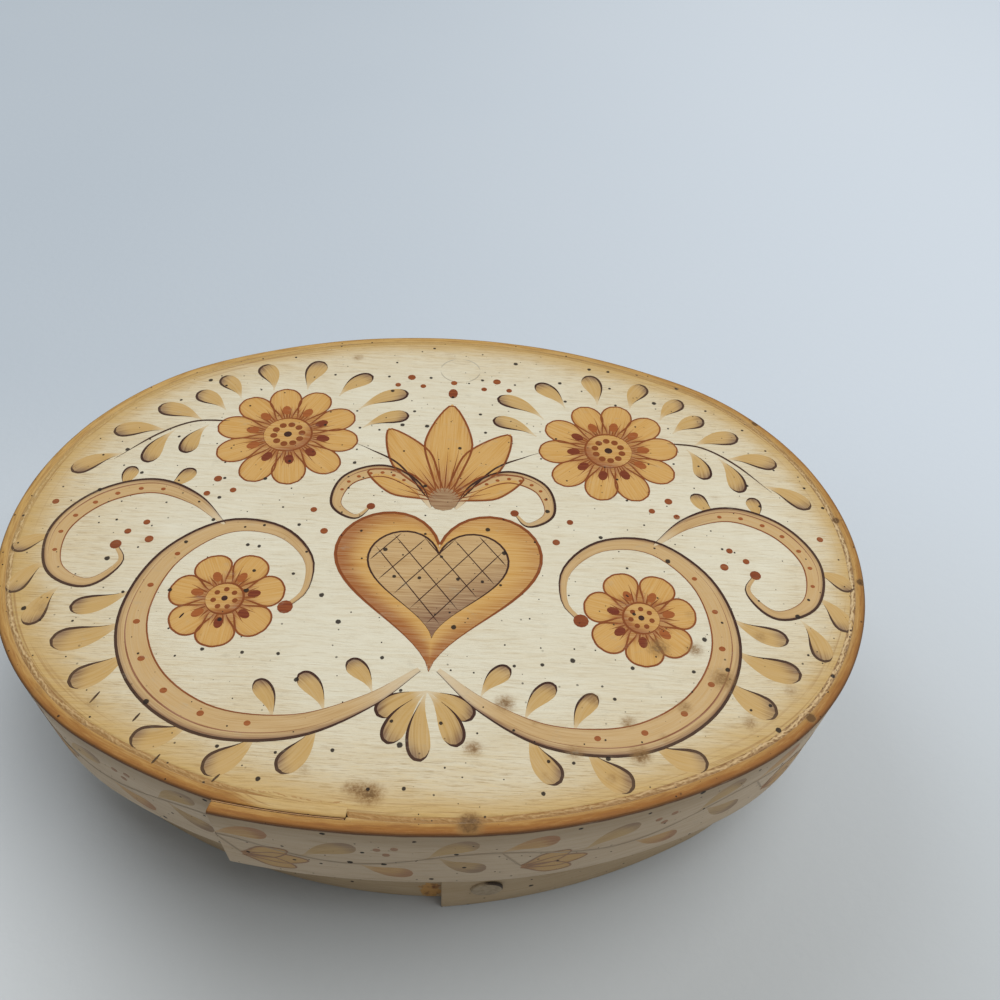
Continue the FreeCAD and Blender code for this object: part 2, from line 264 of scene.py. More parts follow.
paint = {
    # brushed grounds, each with its dulled tone, and the dark hairs in their grooves
    "cream": (0.665, 0.635, 0.510), "creamDull": (0.575, 0.500, 0.345),
    # the side's and the base's creams are darker and warmer than the top's: more amber glaze, and painted shade, the
    # base's most
    "sideCream": (0.575, 0.465, 0.335), "sideDull": (0.460, 0.340, 0.212),
    "baseCream": (0.505, 0.390, 0.250), "baseDull": (0.395, 0.275, 0.150), "groove": (0.300, 0.205, 0.105),
    # the glaze and the rim; the rim's deepest orange is partly painted shade along the front, its pale a painted
    # highlight, and its darkest brown darker glaze and painted shade at the edge
    "haze": (0.545, 0.425, 0.235), "caught": (0.330, 0.215, 0.095), "bright": (0.640, 0.500, 0.270),
    "amber": (0.485, 0.318, 0.108), "rim": (0.455, 0.258, 0.064), "rimDeep": (0.280, 0.110, 0.017),
    "rimHighlight": (0.570, 0.365, 0.130), "rimBrown": (0.230, 0.095, 0.026), "darkGlazeAndShade": (0.095, 0.036, 0.012),
    "underRim": (0.270, 0.185, 0.098),
    # stains, specks and the torn corner
    "foxing": (0.245, 0.135, 0.046), "foxHeart": (0.110, 0.056, 0.018), "speck": (0.016, 0.010, 0.007),
    "smudge": (0.360, 0.325, 0.240), "tornAmber": (0.560, 0.300, 0.095), "tornBrown": (0.200, 0.080, 0.028),
    # the filler's cracks, and the painted highlights on its crests
    "crack": (0.160, 0.075, 0.024), "crestHighlight": (0.640, 0.520, 0.320), "crestHighlightDeep": (0.540, 0.360, 0.160),
    # wood, glue and metal
    "pine": (0.560, 0.400, 0.215), "pineDark": (0.400, 0.245, 0.105), "dirt": (0.30, 0.19, 0.09),
    "glue": (0.500, 0.270, 0.080), "glueDark": (0.180, 0.070, 0.020), "rust": (0.180, 0.085, 0.040),
    "rivetSteel": (0.52, 0.50, 0.47), "rivetSteelDark": (0.34, 0.32, 0.30),
    "bradSteel": (0.40, 0.38, 0.36), "bradSteelDark": (0.25, 0.23, 0.21),
    # the rivet head's worn paint, and the dark of the painted shadow round its edge
    "worn": (0.400, 0.310, 0.200), "wornDark": (0.290, 0.215, 0.130), "headShadow": (0.045, 0.028, 0.016),
    # the floor, behind and in front, left to right, and the clouds over it; its colours carry painted light and shade,
    # with a painted shadow in the front middle
    "behindLeft": (0.415, 0.480, 0.550), "behindRight": (0.545, 0.612, 0.690), "frontLeft": (0.620, 0.665, 0.700),
    "frontShadow": (0.372, 0.395, 0.405), "frontRight": (0.520, 0.572, 0.615), "floorCloud": (0.600, 0.640, 0.680),
    # the strokes' pigments, light and dark
    "leafLight": (0.470, 0.290, 0.088), "leafDark": (0.165, 0.082, 0.040),
    "bloomLight": (0.540, 0.310, 0.085), "bloomDark": (0.290, 0.095, 0.020),
    "scrollLight": (0.490, 0.315, 0.130), "scrollDark": (0.150, 0.056, 0.028),
    "berryLight": (0.330, 0.100, 0.022), "berryDark": (0.130, 0.020, 0.008),
    "rustLight": (0.270, 0.075, 0.014), "rustDark": (0.140, 0.034, 0.008),
    "umberLight": (0.058, 0.020, 0.011), "umberDark": (0.026, 0.010, 0.006),
}


def aged(f, colour, streak, lay, top, over=1.0):
    # What time and the maker's glaze laid over the paint: tan haze and amber towards the rim, foxing, specks; with
    # painted light and shade at the rim: highlights on its crinkles, shade at its edges.
    # The glaze went on before the strokes, so over them it counts for less. gap is in mm from the rim.
    def coat(share, tone):
        return f.mix(share, colour, tone)

    cloud = f.noise(lay, (0.035, 0.05, 0.05), 2.0)
    fine = f.noise(lay, (0.12, 0.55, 1), 3.0, 0.6)
    if top:
        gap, glaze, deep = f.mark("gap"), f.mark("glaze"), f.mark("deep")
        haze = 1 - f.step(gap, 1.0, glaze * (cloud * 34 + 12))
        colour = coat(haze * (streak * 0.8 + fine * 0.6 - 0.07) * over, "haze")
        amber = (1 - f.step(gap, 0.5, glaze * (cloud * 15 + 4))) ** 1.3
        colour = coat(amber * (streak * 1.1 + 0.30) * over, "amber")
        if over == 1.0:
            # dark and bright hairs, and a golden zone
            hairs = f.noise(lay, (0.20, 3.8, 1), 3.0, 0.65)
            colour = coat(f.step(hairs, 0.53, 0.62) * (haze * 0.75 + 0.25) * 0.62, "caught")
            colour = coat(f.step(hairs, 0.46, 0.37) * haze * 0.45, "bright")
            colour = coat((1 - f.step(gap, 2.5, fine * 4.0 + glaze * 5.0 + 3.5)) * 0.52, "amber")
            # brown rings that run with the rim, then the rim's crinkled paint: pale painted highlights on the crinkles,
            # brown between them
            along = f.node("ShaderNodeCombineXYZ", {}, {"Z": gap * 1.8})
            ringPlace = f.vector("ADD", f.vector("MULTIPLY", lay, (0.03, 0.03, 0)), along)
            rings = f.step(f.noise(ringPlace, 1.0, 3.0, 0.6), 0.47, 0.36)
            colour = coat(rings * (1 - f.step(gap, 3.5, 8.0)) * 0.45, "rimBrown")
            near = 1 - f.step(gap, 0.9, fine * 4.2 + 1.7)
            # the rim's orange, browner where deep is high; along the front that is partly painted shade
            colour = coat(near * (deep * 0.40 + 0.52), f.mix(deep, "rim", "rimDeep"))
            crinkle = f.noise(lay, (0.16, 1.5, 1), 4.0, 0.7)
            colour = coat(near * f.step(crinkle, 0.50, 0.64) * (0.55 - deep * 0.22), "rimHighlight")
            colour = coat(near * f.step(crinkle, 0.49, 0.37) * (deep * 0.25 + 0.40), "rimBrown")
            # the darkened outer edge: darker glaze and painted shade on its rounded brow
            brow = 1 - f.step(gap, 0.05, fine * 1.6 + deep * 0.7 + 0.35)
            edge = f.mix(1 - f.step(gap, 0.15, 0.95), "rimBrown", "darkGlazeAndShade")
            colour = coat(brow * (deep * 0.30 + 0.62), edge)
    elif over == 1.0:
        # lay counts height on a side, so these darken it just under the lid's rim; the thin line at the very top is a
        # painted shadow where the side turns over into the rim
        level = f.node("ShaderNodeSeparateXYZ", {}, {0: lay}, 1)
        colour = coat(f.step(level + fine * 3.0, 42.0, 50.5) * 0.48, "underRim")
        colour = coat(f.step(level + fine * 0.8, 49.35, 49.95) * 0.90, "darkGlazeAndShade")
    stain = f.mark("stain")
    blot = f.noise(lay, (1.3, 1.5, 1), 4.0, 0.75)
    colour = coat(f.step(stain.math("MINIMUM", stain, 1.0) * (blot * 1.7 + 0.1), 0.16, 0.90) * 0.86, "foxing")
    colour = coat(f.step(stain * (blot + 0.4), 0.58, 1.05) * 0.88, "foxHeart")
    grey = f.step(f.noise(f.vector("ADD", lay, (31, 7, 0)), (0.16, 0.34, 1), 4.0, 0.7), 0.58, 0.74)
    colour = coat(grey * (f.step(gap, 3.0, 9.0) * 0.28 if top else 0.28), "smudge")
    bunch = f.step(f.noise(lay, (0.03, 0.03, 1), 1.0), 0.36, 0.60)
    specks = f.dots(lay, 7.0, 0.70, 0.15, 0.68)
    mist = f.dots(f.vector("ADD", lay, (17, 5, 0)), 4.0, 0.46, 0.09, 0.30) * bunch
    colour = coat(mist * 0.85, "speck")
    return coat(specks * 0.95, "speck")


def ground(f, lay, tones):
    # Cream paint brushed along the grain: long thin streaks over slow clouds, darker hairs left in the grooves
    wave = f.noise(lay, (0.05, 0.12, 1), 1.0)
    bent = f.vector("ADD", lay, f.node("ShaderNodeCombineXYZ", {}, {"Y": wave * 3.0}))
    streak = f.noise(bent, (0.075, 1.15, 1), 4.0, 0.62)
    hair = f.noise(bent, (0.20, 4.6, 1), 3.0, 0.6)
    cloud = f.noise(lay, (0.03, 0.07, 1), 2.0)
    colour = f.mix(f.step(streak * 0.55 + hair * 0.30 + cloud * 0.35, 0.42, 0.92), *tones)
    groove = f.step(hair * 0.6 + streak * 0.4, 0.56, 0.70)
    return f.mix(groove * 0.40, colour, "groove"), streak, hair


def torn(f, colour, lay, spot):
    # Amber glue and bare fibre where the face tore away: a ragged oval round the spot
    off = f.vector("ADD", lay, (-spot["along"], -spot["level"], 0))
    off = f.vector("MULTIPLY", off, (1 / spot["halfWide"], 1 / spot["halfHigh"], 0))
    away = f.node("ShaderNodeVectorMath", {"operation": "LENGTH"}, {0: off}, "Value")
    ragged = f.noise(lay, (0.5, 0.45, 1), 4.0, 0.6)
    inside = 1 - f.step(away + (ragged - 0.5) * 1.5, 0.80, 0.98)
    fibre = f.noise(lay, (0.5, 0.35, 1), 2.0, 0.6)
    return f.mix(inside * 0.95, colour, f.mix(f.step(fibre, 0.46, 0.72), "tornAmber", "tornBrown"))


def paintedGround(name, tones, top=False, spot=None):
    f = Finish(name, Specular_IOR_Level=0.16)
    lay = f.mark("lay", "Vector")
    colour, streak, hair = ground(f, lay, tones)
    if spot:
        colour = torn(f, colour, lay, spot)
    colour = aged(f, colour, streak, lay, top)
    crackle = f.noise(lay, (0.35, 2.4, 1), 4.0, 0.7)
    height = streak * 0.5 + hair * 0.35 + crackle * 0.25
    return f.finishWith(colour, streak * 0.16 + 0.50, height, 0.00026 if top else 0.00012)


def brushed(name, light, dark, tones, top, cover):
    # A brush stroke: pigment between light and dark by its tone, thin where the bristles left gaps
    f = Finish(name, Specular_IOR_Level=0.16)
    lay, bristle = f.mark("lay", "Vector"), f.mark("bristle", "Vector")
    under, streak, hair = ground(f, lay, tones)
    hairs = f.noise(bristle, (0.10, 3.0, 1), 3.0, 0.6)
    tone = f.step(f.mark("tone") + (hairs - 0.5) * 0.85, 0.0, 1.0)
    pigment = f.mix(tone, light, dark)
    thick = f.mark("cover") * (hairs * 0.45 + 0.72) * cover
    colour = aged(f, f.mix(thick, under, pigment), streak, lay, top, 0.08)
    return f.finishWith(colour, hairs * 0.2 + 0.48, hairs * 0.6 + streak * 0.4, 0.00012)


def bareWood(name, block):
    # Straw-coloured pine: rings stretched along the grain, read along the strip, or by place in a solid block
    f = Finish(name, Roughness=0.62)
    lay = f.place() if block else f.mark("lay", "Vector")
    drift = f.noise(lay, (0.012, 0.05, 0.05), 2.0)
    wave = {"wave_type": "BANDS", "bands_direction": "Y", "wave_profile": "SAW"}
    bands = f.node("ShaderNodeTexWave", wave, {
        "Vector": f.vector("MULTIPLY", lay, (0.004, 0.055, 0.02)), "Scale": 1.0, "Distortion": 5.0, "Detail": 2.0,
        "Detail Scale": 0.6, "Detail Roughness": 0.5})
    fibre = f.noise(lay, (0.10, 3.6, 3.6), 4.0, 0.65)
    colour = f.mix(bands * 0.55 + fibre * 0.45 + drift * 0.3 - 0.1, "pine", "pineDark")
    dirt = f.step(f.noise(lay, (0.03, 0.06, 0.06), 3.0, 0.6), 0.52, 0.75)
    colour = f.mix(dirt * 0.35, colour, "dirt")
    return f.finishWith(colour, fibre * 0.2 + 0.5, fibre * 0.7 + bands * 0.3, 0.00018)


def driedGlue():
    f = Finish("driedGlue", Coat_Weight=0.3, Coat_Roughness=0.3)
    lumps = f.noise(f.place(), 0.5, 3.0, 0.6)
    return f.finishWith(f.mix(lumps, "glue", "glueDark"), lumps * 0.3 + 0.25, lumps, 0.0002)


def dullSteel(name, rust):
    # Old steel: scratched grey with brown rust in clouds, which is rough and no longer metal
    f = Finish(name)
    spot = f.place()
    scratch = f.noise(spot, (2.0, 2.0, 9.0), 3.0, 0.6)
    brown = f.step(f.noise(spot, 0.9, 4.0, 0.7), 0.62 - rust * 0.3, 0.78 - rust * 0.3)
    f.tree.links.new((1 - brown * 0.85).socket, f.shader.inputs["Metallic"])
    colour = f.mix(brown, f.mix(scratch, name, name + "Dark"), "rust")
    return f.finishWith(colour, brown * 0.4 + scratch * 0.2 + 0.28, scratch * 0.5 + brown * 0.5, 0.00008)


def wornHead():
    # Paint worn thin over the rivet's head, with a dark painted shadow round its edge where its mark is high
    f = Finish("wornHead", Specular_IOR_Level=0.4)
    spot = f.place()
    wear = f.noise(spot, 0.8, 4.0, 0.65)
    fine = f.noise(spot, 3.0, 3.0, 0.6)
    colour = f.mix(f.step(wear, 0.35, 0.68), "worn", "wornDark")
    # the painted shadow round the head's edge
    colour = f.mix(f.step(f.mark("headShadow") + (fine - 0.5) * 0.4, 0.45, 0.80), colour, "headShadow")
    return f.finishWith(colour, fine * 0.3 + 0.35, wear * 0.6 + fine * 0.4, 0.00010)


print("finishes")
# on the base beside its lap's end, along as lay counts it
cornerTear = {"along": 558.1, "level": 4.4, "halfWide": 2.7, "halfHigh": 5.4}
lidTones, sideTones, baseTones = ("cream", "creamDull"), ("sideCream", "sideDull"), ("baseCream", "baseDull")
lidPaint = paintedGround("lidPaint", lidTones, top=True)
sidePaint = paintedGround("sidePaint", sideTones)
basePaint = paintedGround("basePaint", baseTones, spot=cornerTear)
barePine, pineBlock = bareWood("barePine", False), bareWood("pineBlock", True)
rivetPaint, glueFinish = wornHead(), driedGlue()
rivetSteel, bradSteel = dullSteel("rivetSteel", 0.3), dullSteel("bradSteel", 0.8)


def nearAngles(x, y, *bumps):
    # A sum of bumps, each of this height at this compass angle of the lid, fading over its width in degrees
    angle = np.arctan2(y / oval["halfWide"], x / oval["halfLong"])
    total = 0
    for height, centre, width in bumps:
        off = np.angle(np.exp(1j * (angle - math.radians(centre))))
        total = total + height * np.exp(-(off / math.radians(width)) ** 2)
    return total


def glazeAt(x, y):
    # The amber glaze reaches further in at the left, the front and the lower right
    return 0.52 + nearAngles(x, y, (0.78, -155, 42), (0.42, -95, 38), (0.45, -45, 28), (0.25, 170, 30),
                             (0.50, 35, 34), (0.22, 95, 45))


def deepAt(x, y):
    # The rim is browner along the front and at the right, honey-coloured at the left and the back: thicker glaze, and
    # along the front painted shade as well
    return np.clip(nearAngles(x, y, (1, -88, 42), (0.72, -35, 30), (0.55, -140, 26), (0.60, 30, 42)), 0, 1)


marksOnTop = {
    # soft brown spots on the lid: x, y, radius, strength
    "foxing": [(-9, -66, 3.4, 1.0), (-13, -65, 2.0, 0.7), (43, -56, 2.8, 1.0), (49, -31, 3.4, 0.9), (53, -45, 2.2, 0.8),
               (48, -52, 1.8, 0.6), (-22, -62, 2.2, 0.5), (10, -71, 3.0, 1.4), (16, -46, 2.8, 0.9), (10, -56, 2.4, 0.9),
               (30, -56, 2.6, 0.7), (41, -49, 2.2, 0.8), (62, -38, 3.6, 0.9), (57, -31, 2.6, 0.8), (-77, -48, 2.8, 0.5),
               (66, -48, 2.4, 0.7), (-28, 62, 2.2, 0.7), (22, -50, 1.6, 0.5), (72, -27, 2.4, 0.6), (-66, -50, 2.4, 0.5),
               (37, -61, 2.0, 0.6), (57, -22, 2.0, 0.5), (34, -44, 2.2, 0.7), (76, -40, 2.4, 0.6), (-84, -28, 3.0, 0.5),
               (24, -61, 1.8, 0.5), (68, 14, 2.6, 0.4), (80, 20, 2.2, 0.4), (47, 40, 2.2, 0.4)],
    # small dark marks in the rim: x, y, radius
    "dark": [(78.9, -46.2, 0.95), (98.8, -10.5, 0.9), (97.5, 8.5, 0.8), (83.5, 42.8, 0.9), (36.2, -70.6, 0.9),
             (-47, -66.6, 0.9)],
    "darkStrength": 2.6, "topLevel": 49.88,
}


def stainAt(x, y):
    # Round fading spots added up, and the dark marks, which count as the darkest stain
    def far(spots, squeeze):
        return np.hypot(np.asarray(x)[..., None] - spots[:, 0], (np.asarray(y)[..., None] - spots[:, 1]) * squeeze)

    spots, dark = np.array(marksOnTop["foxing"]), np.array(marksOnTop["dark"])
    foxing = spots[:, 3] * np.exp(-(far(spots, 1.1) / spots[:, 2]) ** 2 * 1.3)
    marked = marksOnTop["darkStrength"] * np.exp(-(far(dark, 1) / dark[:, 2]) ** 2)
    return np.clip(foxing.sum(-1), 0, 1) + marked.max(-1)


lidStrip = {"inset": 0, "strip": 2.4, "glue": 0.15, "low": 25, "high": 50, "lapEnd": -37.8, "innerEnd": -13,
            "blend": 10, "flatness": 1.455, "edge": 0.55, "worn": 0.10, "lean": 1, "seed": 3}
baseStrip = {"inset": 4.95, "strip": 2.1, "glue": 0.15, "low": 0, "high": 44.8, "lapEnd": 4.7, "innerEnd": 34,
             "blend": 61.997, "flatness": 1.174, "edge": 0.45, "worn": 0.06, "lean": 0, "seed": 5}
# both strips: how far the walls lie inside their true faces, how far the lap's arc starts below the face, the
# easing of the cut ends, and the rounding of every edge but the outer top one
strips = {"setIn": 0.06, "sway": 0.05, "tuck": 0.02, "pull": 0.25, "easeOver": 0.3, "round": 0.25, "steps": 900}


def lapRise(turn, s):
    # How far the lap's flatter circle stands out of the side's face, at this angle from the front
    radius = oval["sideRadius"] - s["inset"]
    step, tuck = s["strip"] + s["glue"], strips["tuck"]
    a, b = math.asin(s["lapEnd"] / radius), math.asin(s["blend"] / radius)
    p = np.array([(radius + step) * math.sin(a), -(radius + step) * math.cos(a)])
    q = np.array([(radius - tuck) * math.sin(b), -(radius - tuck) * math.cos(b)])
    along, across = q - p
    chord = math.hypot(along, across)
    lap = radius * s["flatness"]
    depth = math.sqrt(lap ** 2 - chord ** 2 / 4)
    centre = (p + q) / 2 + np.array([-across, along]) / chord * depth
    towards = facing(turn) @ centre
    rise = towards + np.sqrt(lap ** 2 - centre @ centre + towards ** 2) - radius
    return np.where((turn >= a - 1e-6) & (turn <= b), np.maximum(rise, 0), 0)


def frontTurn(x, s):
    return math.asin(x / (oval["sideRadius"] - s["inset"]))


def wallWave(turn, level, s):
    # The outer wall lies a hair inside its true face, unevenly, most at the top
    unevenly = ripple(turn * 9, s["seed"]) * 0.5 + 0.5
    return -strips["setIn"] - strips["sway"] * unevenly * smooth(level, s["low"], s["high"])


def bentStrip(s):
    # A rounded rectangle carried once round the oval and on under its own outer end
    start, inner, whole = frontTurn(s["lapEnd"], s), frontTurn(s["innerEnd"], s), 2 * math.pi
    finish, closeBy = whole + inner, np.array([0.0008, 0.002, 0.004])
    turn = np.sort(np.concatenate([np.linspace(start, finish, strips["steps"]), [inner, inner + 0.0012],
                                   start + closeBy, finish - closeBy, [whole + start]]))
    under = turn > whole + start - 1e-9
    fromOuter, distance, level, topness = cornered(s)
    rise = lapRise(np.where(under, turn - whole, turn), s)
    lapped = s["strip"] + s["glue"]
    outer = np.where(under, rise - lapped, rise)
    innerFace = np.where(turn <= inner, rise - s["strip"], -s["strip"])
    # the glaze counts the tucked end as lying this far in from the rim
    gapStart = np.where(under, lapped * smooth((turn - whole - start) * oval["sideRadius"], 0, 12), 0)
    # ends: the outermost rings pull in a little, so that the cut ends are eased
    ease = np.minimum(turn - start, finish - turn) * oval["sideRadius"]
    bend = 1 - (1 - np.clip(ease / strips["easeOver"], 0, 1)) ** 2
    pull = (strips["pull"] * (1 - np.sqrt(np.clip(bend, 0, 1))))[:, None]
    wear = s["worn"] * (ripple(turn * 14, s["seed"] + 1) * 0.5 + 0.5)
    # the tucked end is scarfed thin; on the lid its top keeps the full width and leans in over the board's edge
    leaning = np.where(under, lapped - rise, 0)[:, None] * s["lean"]
    face = innerFace[:, None] - leaning * smooth(level, s["high"] - 1.5, s["high"] - 0.8)
    thin = np.clip((outer[:, None] - face) / s["strip"], 0.05, 1)
    out = outer[:, None] - (distance + pull) * thin + wallWave(turn[:, None], level, s)
    offset = np.where(fromOuter, out, face + (distance + pull) * thin)
    xy = ovalPoint(turn - math.pi / 2, s["inset"])[:, None] + facing(turn)[:, None] * offset[..., None]
    level = np.broadcast_to(level, offset.shape)
    z = level + np.where(level > (s["low"] + s["high"]) / 2, -1, 1) * pull - wear[:, None] * topness
    onTop = topness > 0.5
    gap = np.maximum(outer[:, None] - offset, 0) + gapStart[:, None]
    gap = np.where(onTop, gap, np.where(fromOuter, 0, 60))
    # the painted side carries its own lay: length along the strip, height up it and on over the top
    along = np.broadcast_to(arcLength(turn)[:, None], offset.shape)
    lay = np.stack([along, z + np.where(onTop, outer[:, None] - offset, 0), np.zeros(offset.shape)], -1)
    x, y = xy[..., 0], xy[..., 1]
    marks = {"lay": lay, "gap": gap, "glaze": glazeAt(x, y), "deep": deepAt(x, y), "stain": stainAt(x, y) * topness}
    return np.dstack([xy, z]), marks


def cornered(s):
    # The strip's section, anticlockwise from the inner foot: does its outer face carry it, distance from that face,
    # height, share of top
    e, i, low, high = s["edge"], strips["round"], s["low"], s["high"]
    bend = np.linspace(0, math.pi / 2, 5)
    foot = [(True, i - i * math.sin(t), low + i - i * math.cos(t), 0) for t in bend]
    wall = [(True, 0, z, 0) for z in np.linspace(low + i, high - e, 12)[1:-1]]
    brow = [(True, e - e * math.cos(t), high - e + e * math.sin(t), t > 0.5) for t in bend]
    crown = [(True, d, high, 1) for d in (e + 0.5, e + 1.0)]
    lip = [(False, i - i * math.sin(t), high - i + i * math.cos(t), t < 1.0) for t in bend]
    back = [(False, 0, z, 0) for z in np.linspace(high - i, low + i, 8)[1:-1]]
    heel = [(False, i - i * math.cos(t), low + i - i * math.sin(t), 0) for t in bend]
    rows = foot + wall + brow + crown + lip + back + heel
    side, distance, level, top = (np.array(column, float) for column in zip(*rows))
    return side > 0.5, distance, level, top


def arcLength(turn):
    # Length round the lid's outline from the front's middle, by running sums over fine steps
    fine = np.linspace(-math.pi, 3 * math.pi, 8001)
    run = runOf(ovalPoint(fine - math.pi / 2, 0))
    return np.interp(turn, fine, run - np.interp(0, fine, run))


def stripTube(s):
    # The inner wall and heel are bare wood, the crown takes the second paint and the rest the first
    grid, marks = bentStrip(s)
    fromOuter, distance, level, topness = cornered(s)
    rings, points = grid.shape[:2]
    bare = ~fromOuter & ~np.roll(fromOuter, -1)
    crown = (topness > 0.5) & (np.roll(topness, -1) > 0.5)
    section = np.where(crown, 1, bare * 2)
    return tube(grid, marks, np.concatenate([np.tile(section, rings - 1), np.zeros(2 * points, int)]))


print("bent strips")
piece("lidBand", [stripTube(lidStrip)], [sidePaint, lidPaint, barePine], "lid", replaces=["lid_band"])
piece("baseBand", [stripTube(baseStrip)], [basePaint, basePaint, barePine], "base",
      replaces=["base_band"])


def topMarks(grid):
    x, y = grid[..., 0], grid[..., 1]
    return {"lay": grid * (1, 1, 0), "gap": rimGap(x, y), "glaze": glazeAt(x, y), "deep": deepAt(x, y),
            "stain": stainAt(x, y)}


def board(s):
    # Ovals shrunk towards the middle, over the edge and back underneath
    top, low, edge, rings, back = s["top"], s["low"], s["edge"], s["rings"], 24
    shares = np.concatenate([np.linspace(0.004, 1, rings) ** 0.9, [1, 1, 1], np.linspace(1, 0.01, back)])
    shares[rings - 1] -= edge / 60
    levels = np.concatenate([np.full(rings, top), [top - edge, (top + low) / 2, low + edge], np.full(back, low)])
    line = ovalPoint(rounds(s["points"]), s["inset"])
    grid = np.dstack([line * shares[:, None, None], np.broadcast_to(levels[:, None], (len(shares), len(line)))])
    below = np.repeat(levels[:-1] < top - 0.01, len(line))
    material = np.concatenate([below, np.zeros(len(line)), np.ones(len(line))]).astype(int)
    return tube(grid, topMarks(grid), material)


lidBoard = {"inset": 3.38, "top": marksOnTop["topLevel"], "low": 45.0, "edge": 0.12, "rings": 116, "points": 480}
baseBoard = {"inset": 7.05, "top": 5.0, "low": 0.0, "edge": 0.3, "rings": 40, "points": 300}

print("boards")
piece("lidPanel", [board(lidBoard)], [lidPaint, barePine], "lid", replaces=["lid_panel"])
piece("baseBoard", [board(baseBoard)], [barePine, barePine], "base", replaces=["base_panel"])


seam = {"outer": 2.10, "inner": 3.95, "edgeLevel": 49.80, "crest": 0.165, "low": 48.6, "steps": 2600, "across": 11,
        "foot": 0.3, "meet": 0.02, "wander": 0.16, "seed": 41}


def shiver(along, seed, shortest, longest):
    # Irregular crinkles: 26 seeded sines with wavelengths between the two, in mm, scaled to about -1 to 1
    r, waves = np.random.default_rng(seed), 26
    lengths = np.geomspace(shortest, longest, waves) * r.uniform(0.9, 1.1, waves)
    return sum(np.sin(2 * math.pi * along / q + r.uniform(0, 6.28)) for q in lengths) / math.sqrt(waves) / 0.9


def seamBead():
    # Filler pressed into the seam between rim and board: a low double ridge across, crinkled along its length
    turn = rounds(seam["steps"])
    along = arcLength(turn)
    # whole waves round the lid would show a join; the crinkles fade to nothing where the ends meet, behind
    meet = smooth(np.abs(turn), 0, seam["meet"]) * smooth(2 * math.pi - turn, 0, seam["meet"])
    wander = seam["wander"] * shiver(along, seam["seed"], 6, 40) * meet
    x, y = ovalPoint(turn + math.pi / 2, 0).T
    shows = np.clip(0.14 + nearAngles(x, y, (0.85, -35, 42), (0.55, -150, 36), (0.40, 10, 30)), 0, 1)
    share = np.linspace(-1, 1, seam["across"])
    ridges = [shiver(along + 40 * k, seam["seed"] + k, 0.9, 7) for k in range(seam["across"])]
    ridges = np.stack(ridges, -1) * meet[:, None]
    arch = (1 - share ** 2) * (0.62 + 0.20 * np.cos(share * 2.2 * math.pi) + 0.34 * ridges * 0.8)
    crest = np.clip(arch, 0, 1) * (0.45 + 0.55 * shows[:, None])
    middle, half = (seam["outer"] + seam["inner"]) / 2, (seam["inner"] - seam["outer"]) / 2
    # the tucked end of the strip leans inwards, and the filler goes round it
    untilEnd = 1 - smooth(x, lidStrip["innerEnd"] - 0.3, lidStrip["innerEnd"] + 0.5)
    tuckedIn = (y < 0) * (x > lidStrip["lapEnd"]) * untilEnd
    aside = (lidStrip["strip"] + lidStrip["glue"] - lapRise(turn - math.pi, lidStrip)) * tuckedIn
    # two more columns make its foot, down in the seam
    foot = np.array([middle + half * seam["foot"], middle - half * seam["foot"]])
    inset = np.hstack([middle + (wander + aside)[:, None] + half * share, aside[:, None] + foot])
    level = np.hstack([seam["edgeLevel"] + seam["crest"] * crest, np.full((len(turn), 2), seam["low"])])
    grid = np.dstack([ovalPoint(turn[:, None] + math.pi / 2, inset), level])
    marks = topMarks(grid)
    marks["crest"] = np.hstack([crest, np.zeros((len(turn), 2))])
    marks["shows"] = np.broadcast_to(shows[:, None], level.shape)
    return loopTube(grid, marks)


def filledSeam():
    # Pale painted highlights on the crests, brown in the cracks where the seam shows, and the rim's own paint where it
    # doesn't
    f = Finish("seamFiller", Specular_IOR_Level=0.32)
    lay = f.mark("lay", "Vector")
    grain = f.noise(lay, (1.2, 1.6, 1), 3.0, 0.65)
    crest = f.step(f.mark("crest") + (grain - 0.5) * 0.35, 0.10, 0.80)
    deep, shows = f.mark("deep"), f.mark("shows")
    rimTone = f.mix(deep * 0.6, "amber", "rimDeep")
    crack = f.mix(shows * 0.75 + 0.10, rimTone, "crack")
    # the painted highlight on the crests, deeper where the rim is
    pale = f.mix(shows * 0.8, rimTone, f.mix(deep * 0.6, "crestHighlight", "crestHighlightDeep"))
    colour = aged(f, f.mix(crest, crack, pale), grain * 0.3, lay, False, 0.9)
    return f.finishWith(colour, 0.62 - crest * 0.14, crest * 0.6 + grain * 0.4, 0.00016)


print("seam")
piece("lidSeamBead", [seamBead()], [filledSeam()], "lid", sharp=70, replaces=["lid_seam_filler"])


# heights are measured outwards from the band's inner face
rivets = {"angle": math.asin(14.5 / 138.43), "innerFace": 136.33, "head": 3.55, "thick": 0.8, "bevel": 0.4,
          "shank": 1.3, "peen": 2.0, "peenFrom": -1.5476, "roveFrom": -0.8476, "roveTo": -0.0476, "rove": 3.2}
rivetGrip = float(baseStrip["strip"] + lapRise(np.array([rivets["angle"]]), baseStrip)[0])


def lathe(profile, level):
    # A profile of radius and height turned round an axis that leaves the band squarely at the rivets' angle
    radius, height = np.array(profile, float).T
    turn = rounds(40)
    axis = np.array([math.sin(rivets["angle"]), -math.cos(rivets["angle"]), 0])
    beside, up = np.array([-axis[1], axis[0], 0]), np.array([0, 0, 1.0])
    foot = np.array([0, oval["sideCentre"], level]) + axis * rivets["innerFace"]
    spokes = np.cos(turn)[:, None] * beside + np.sin(turn)[:, None] * up
    return foot + axis * height[:, None, None] + spokes * radius[:, None, None], turn


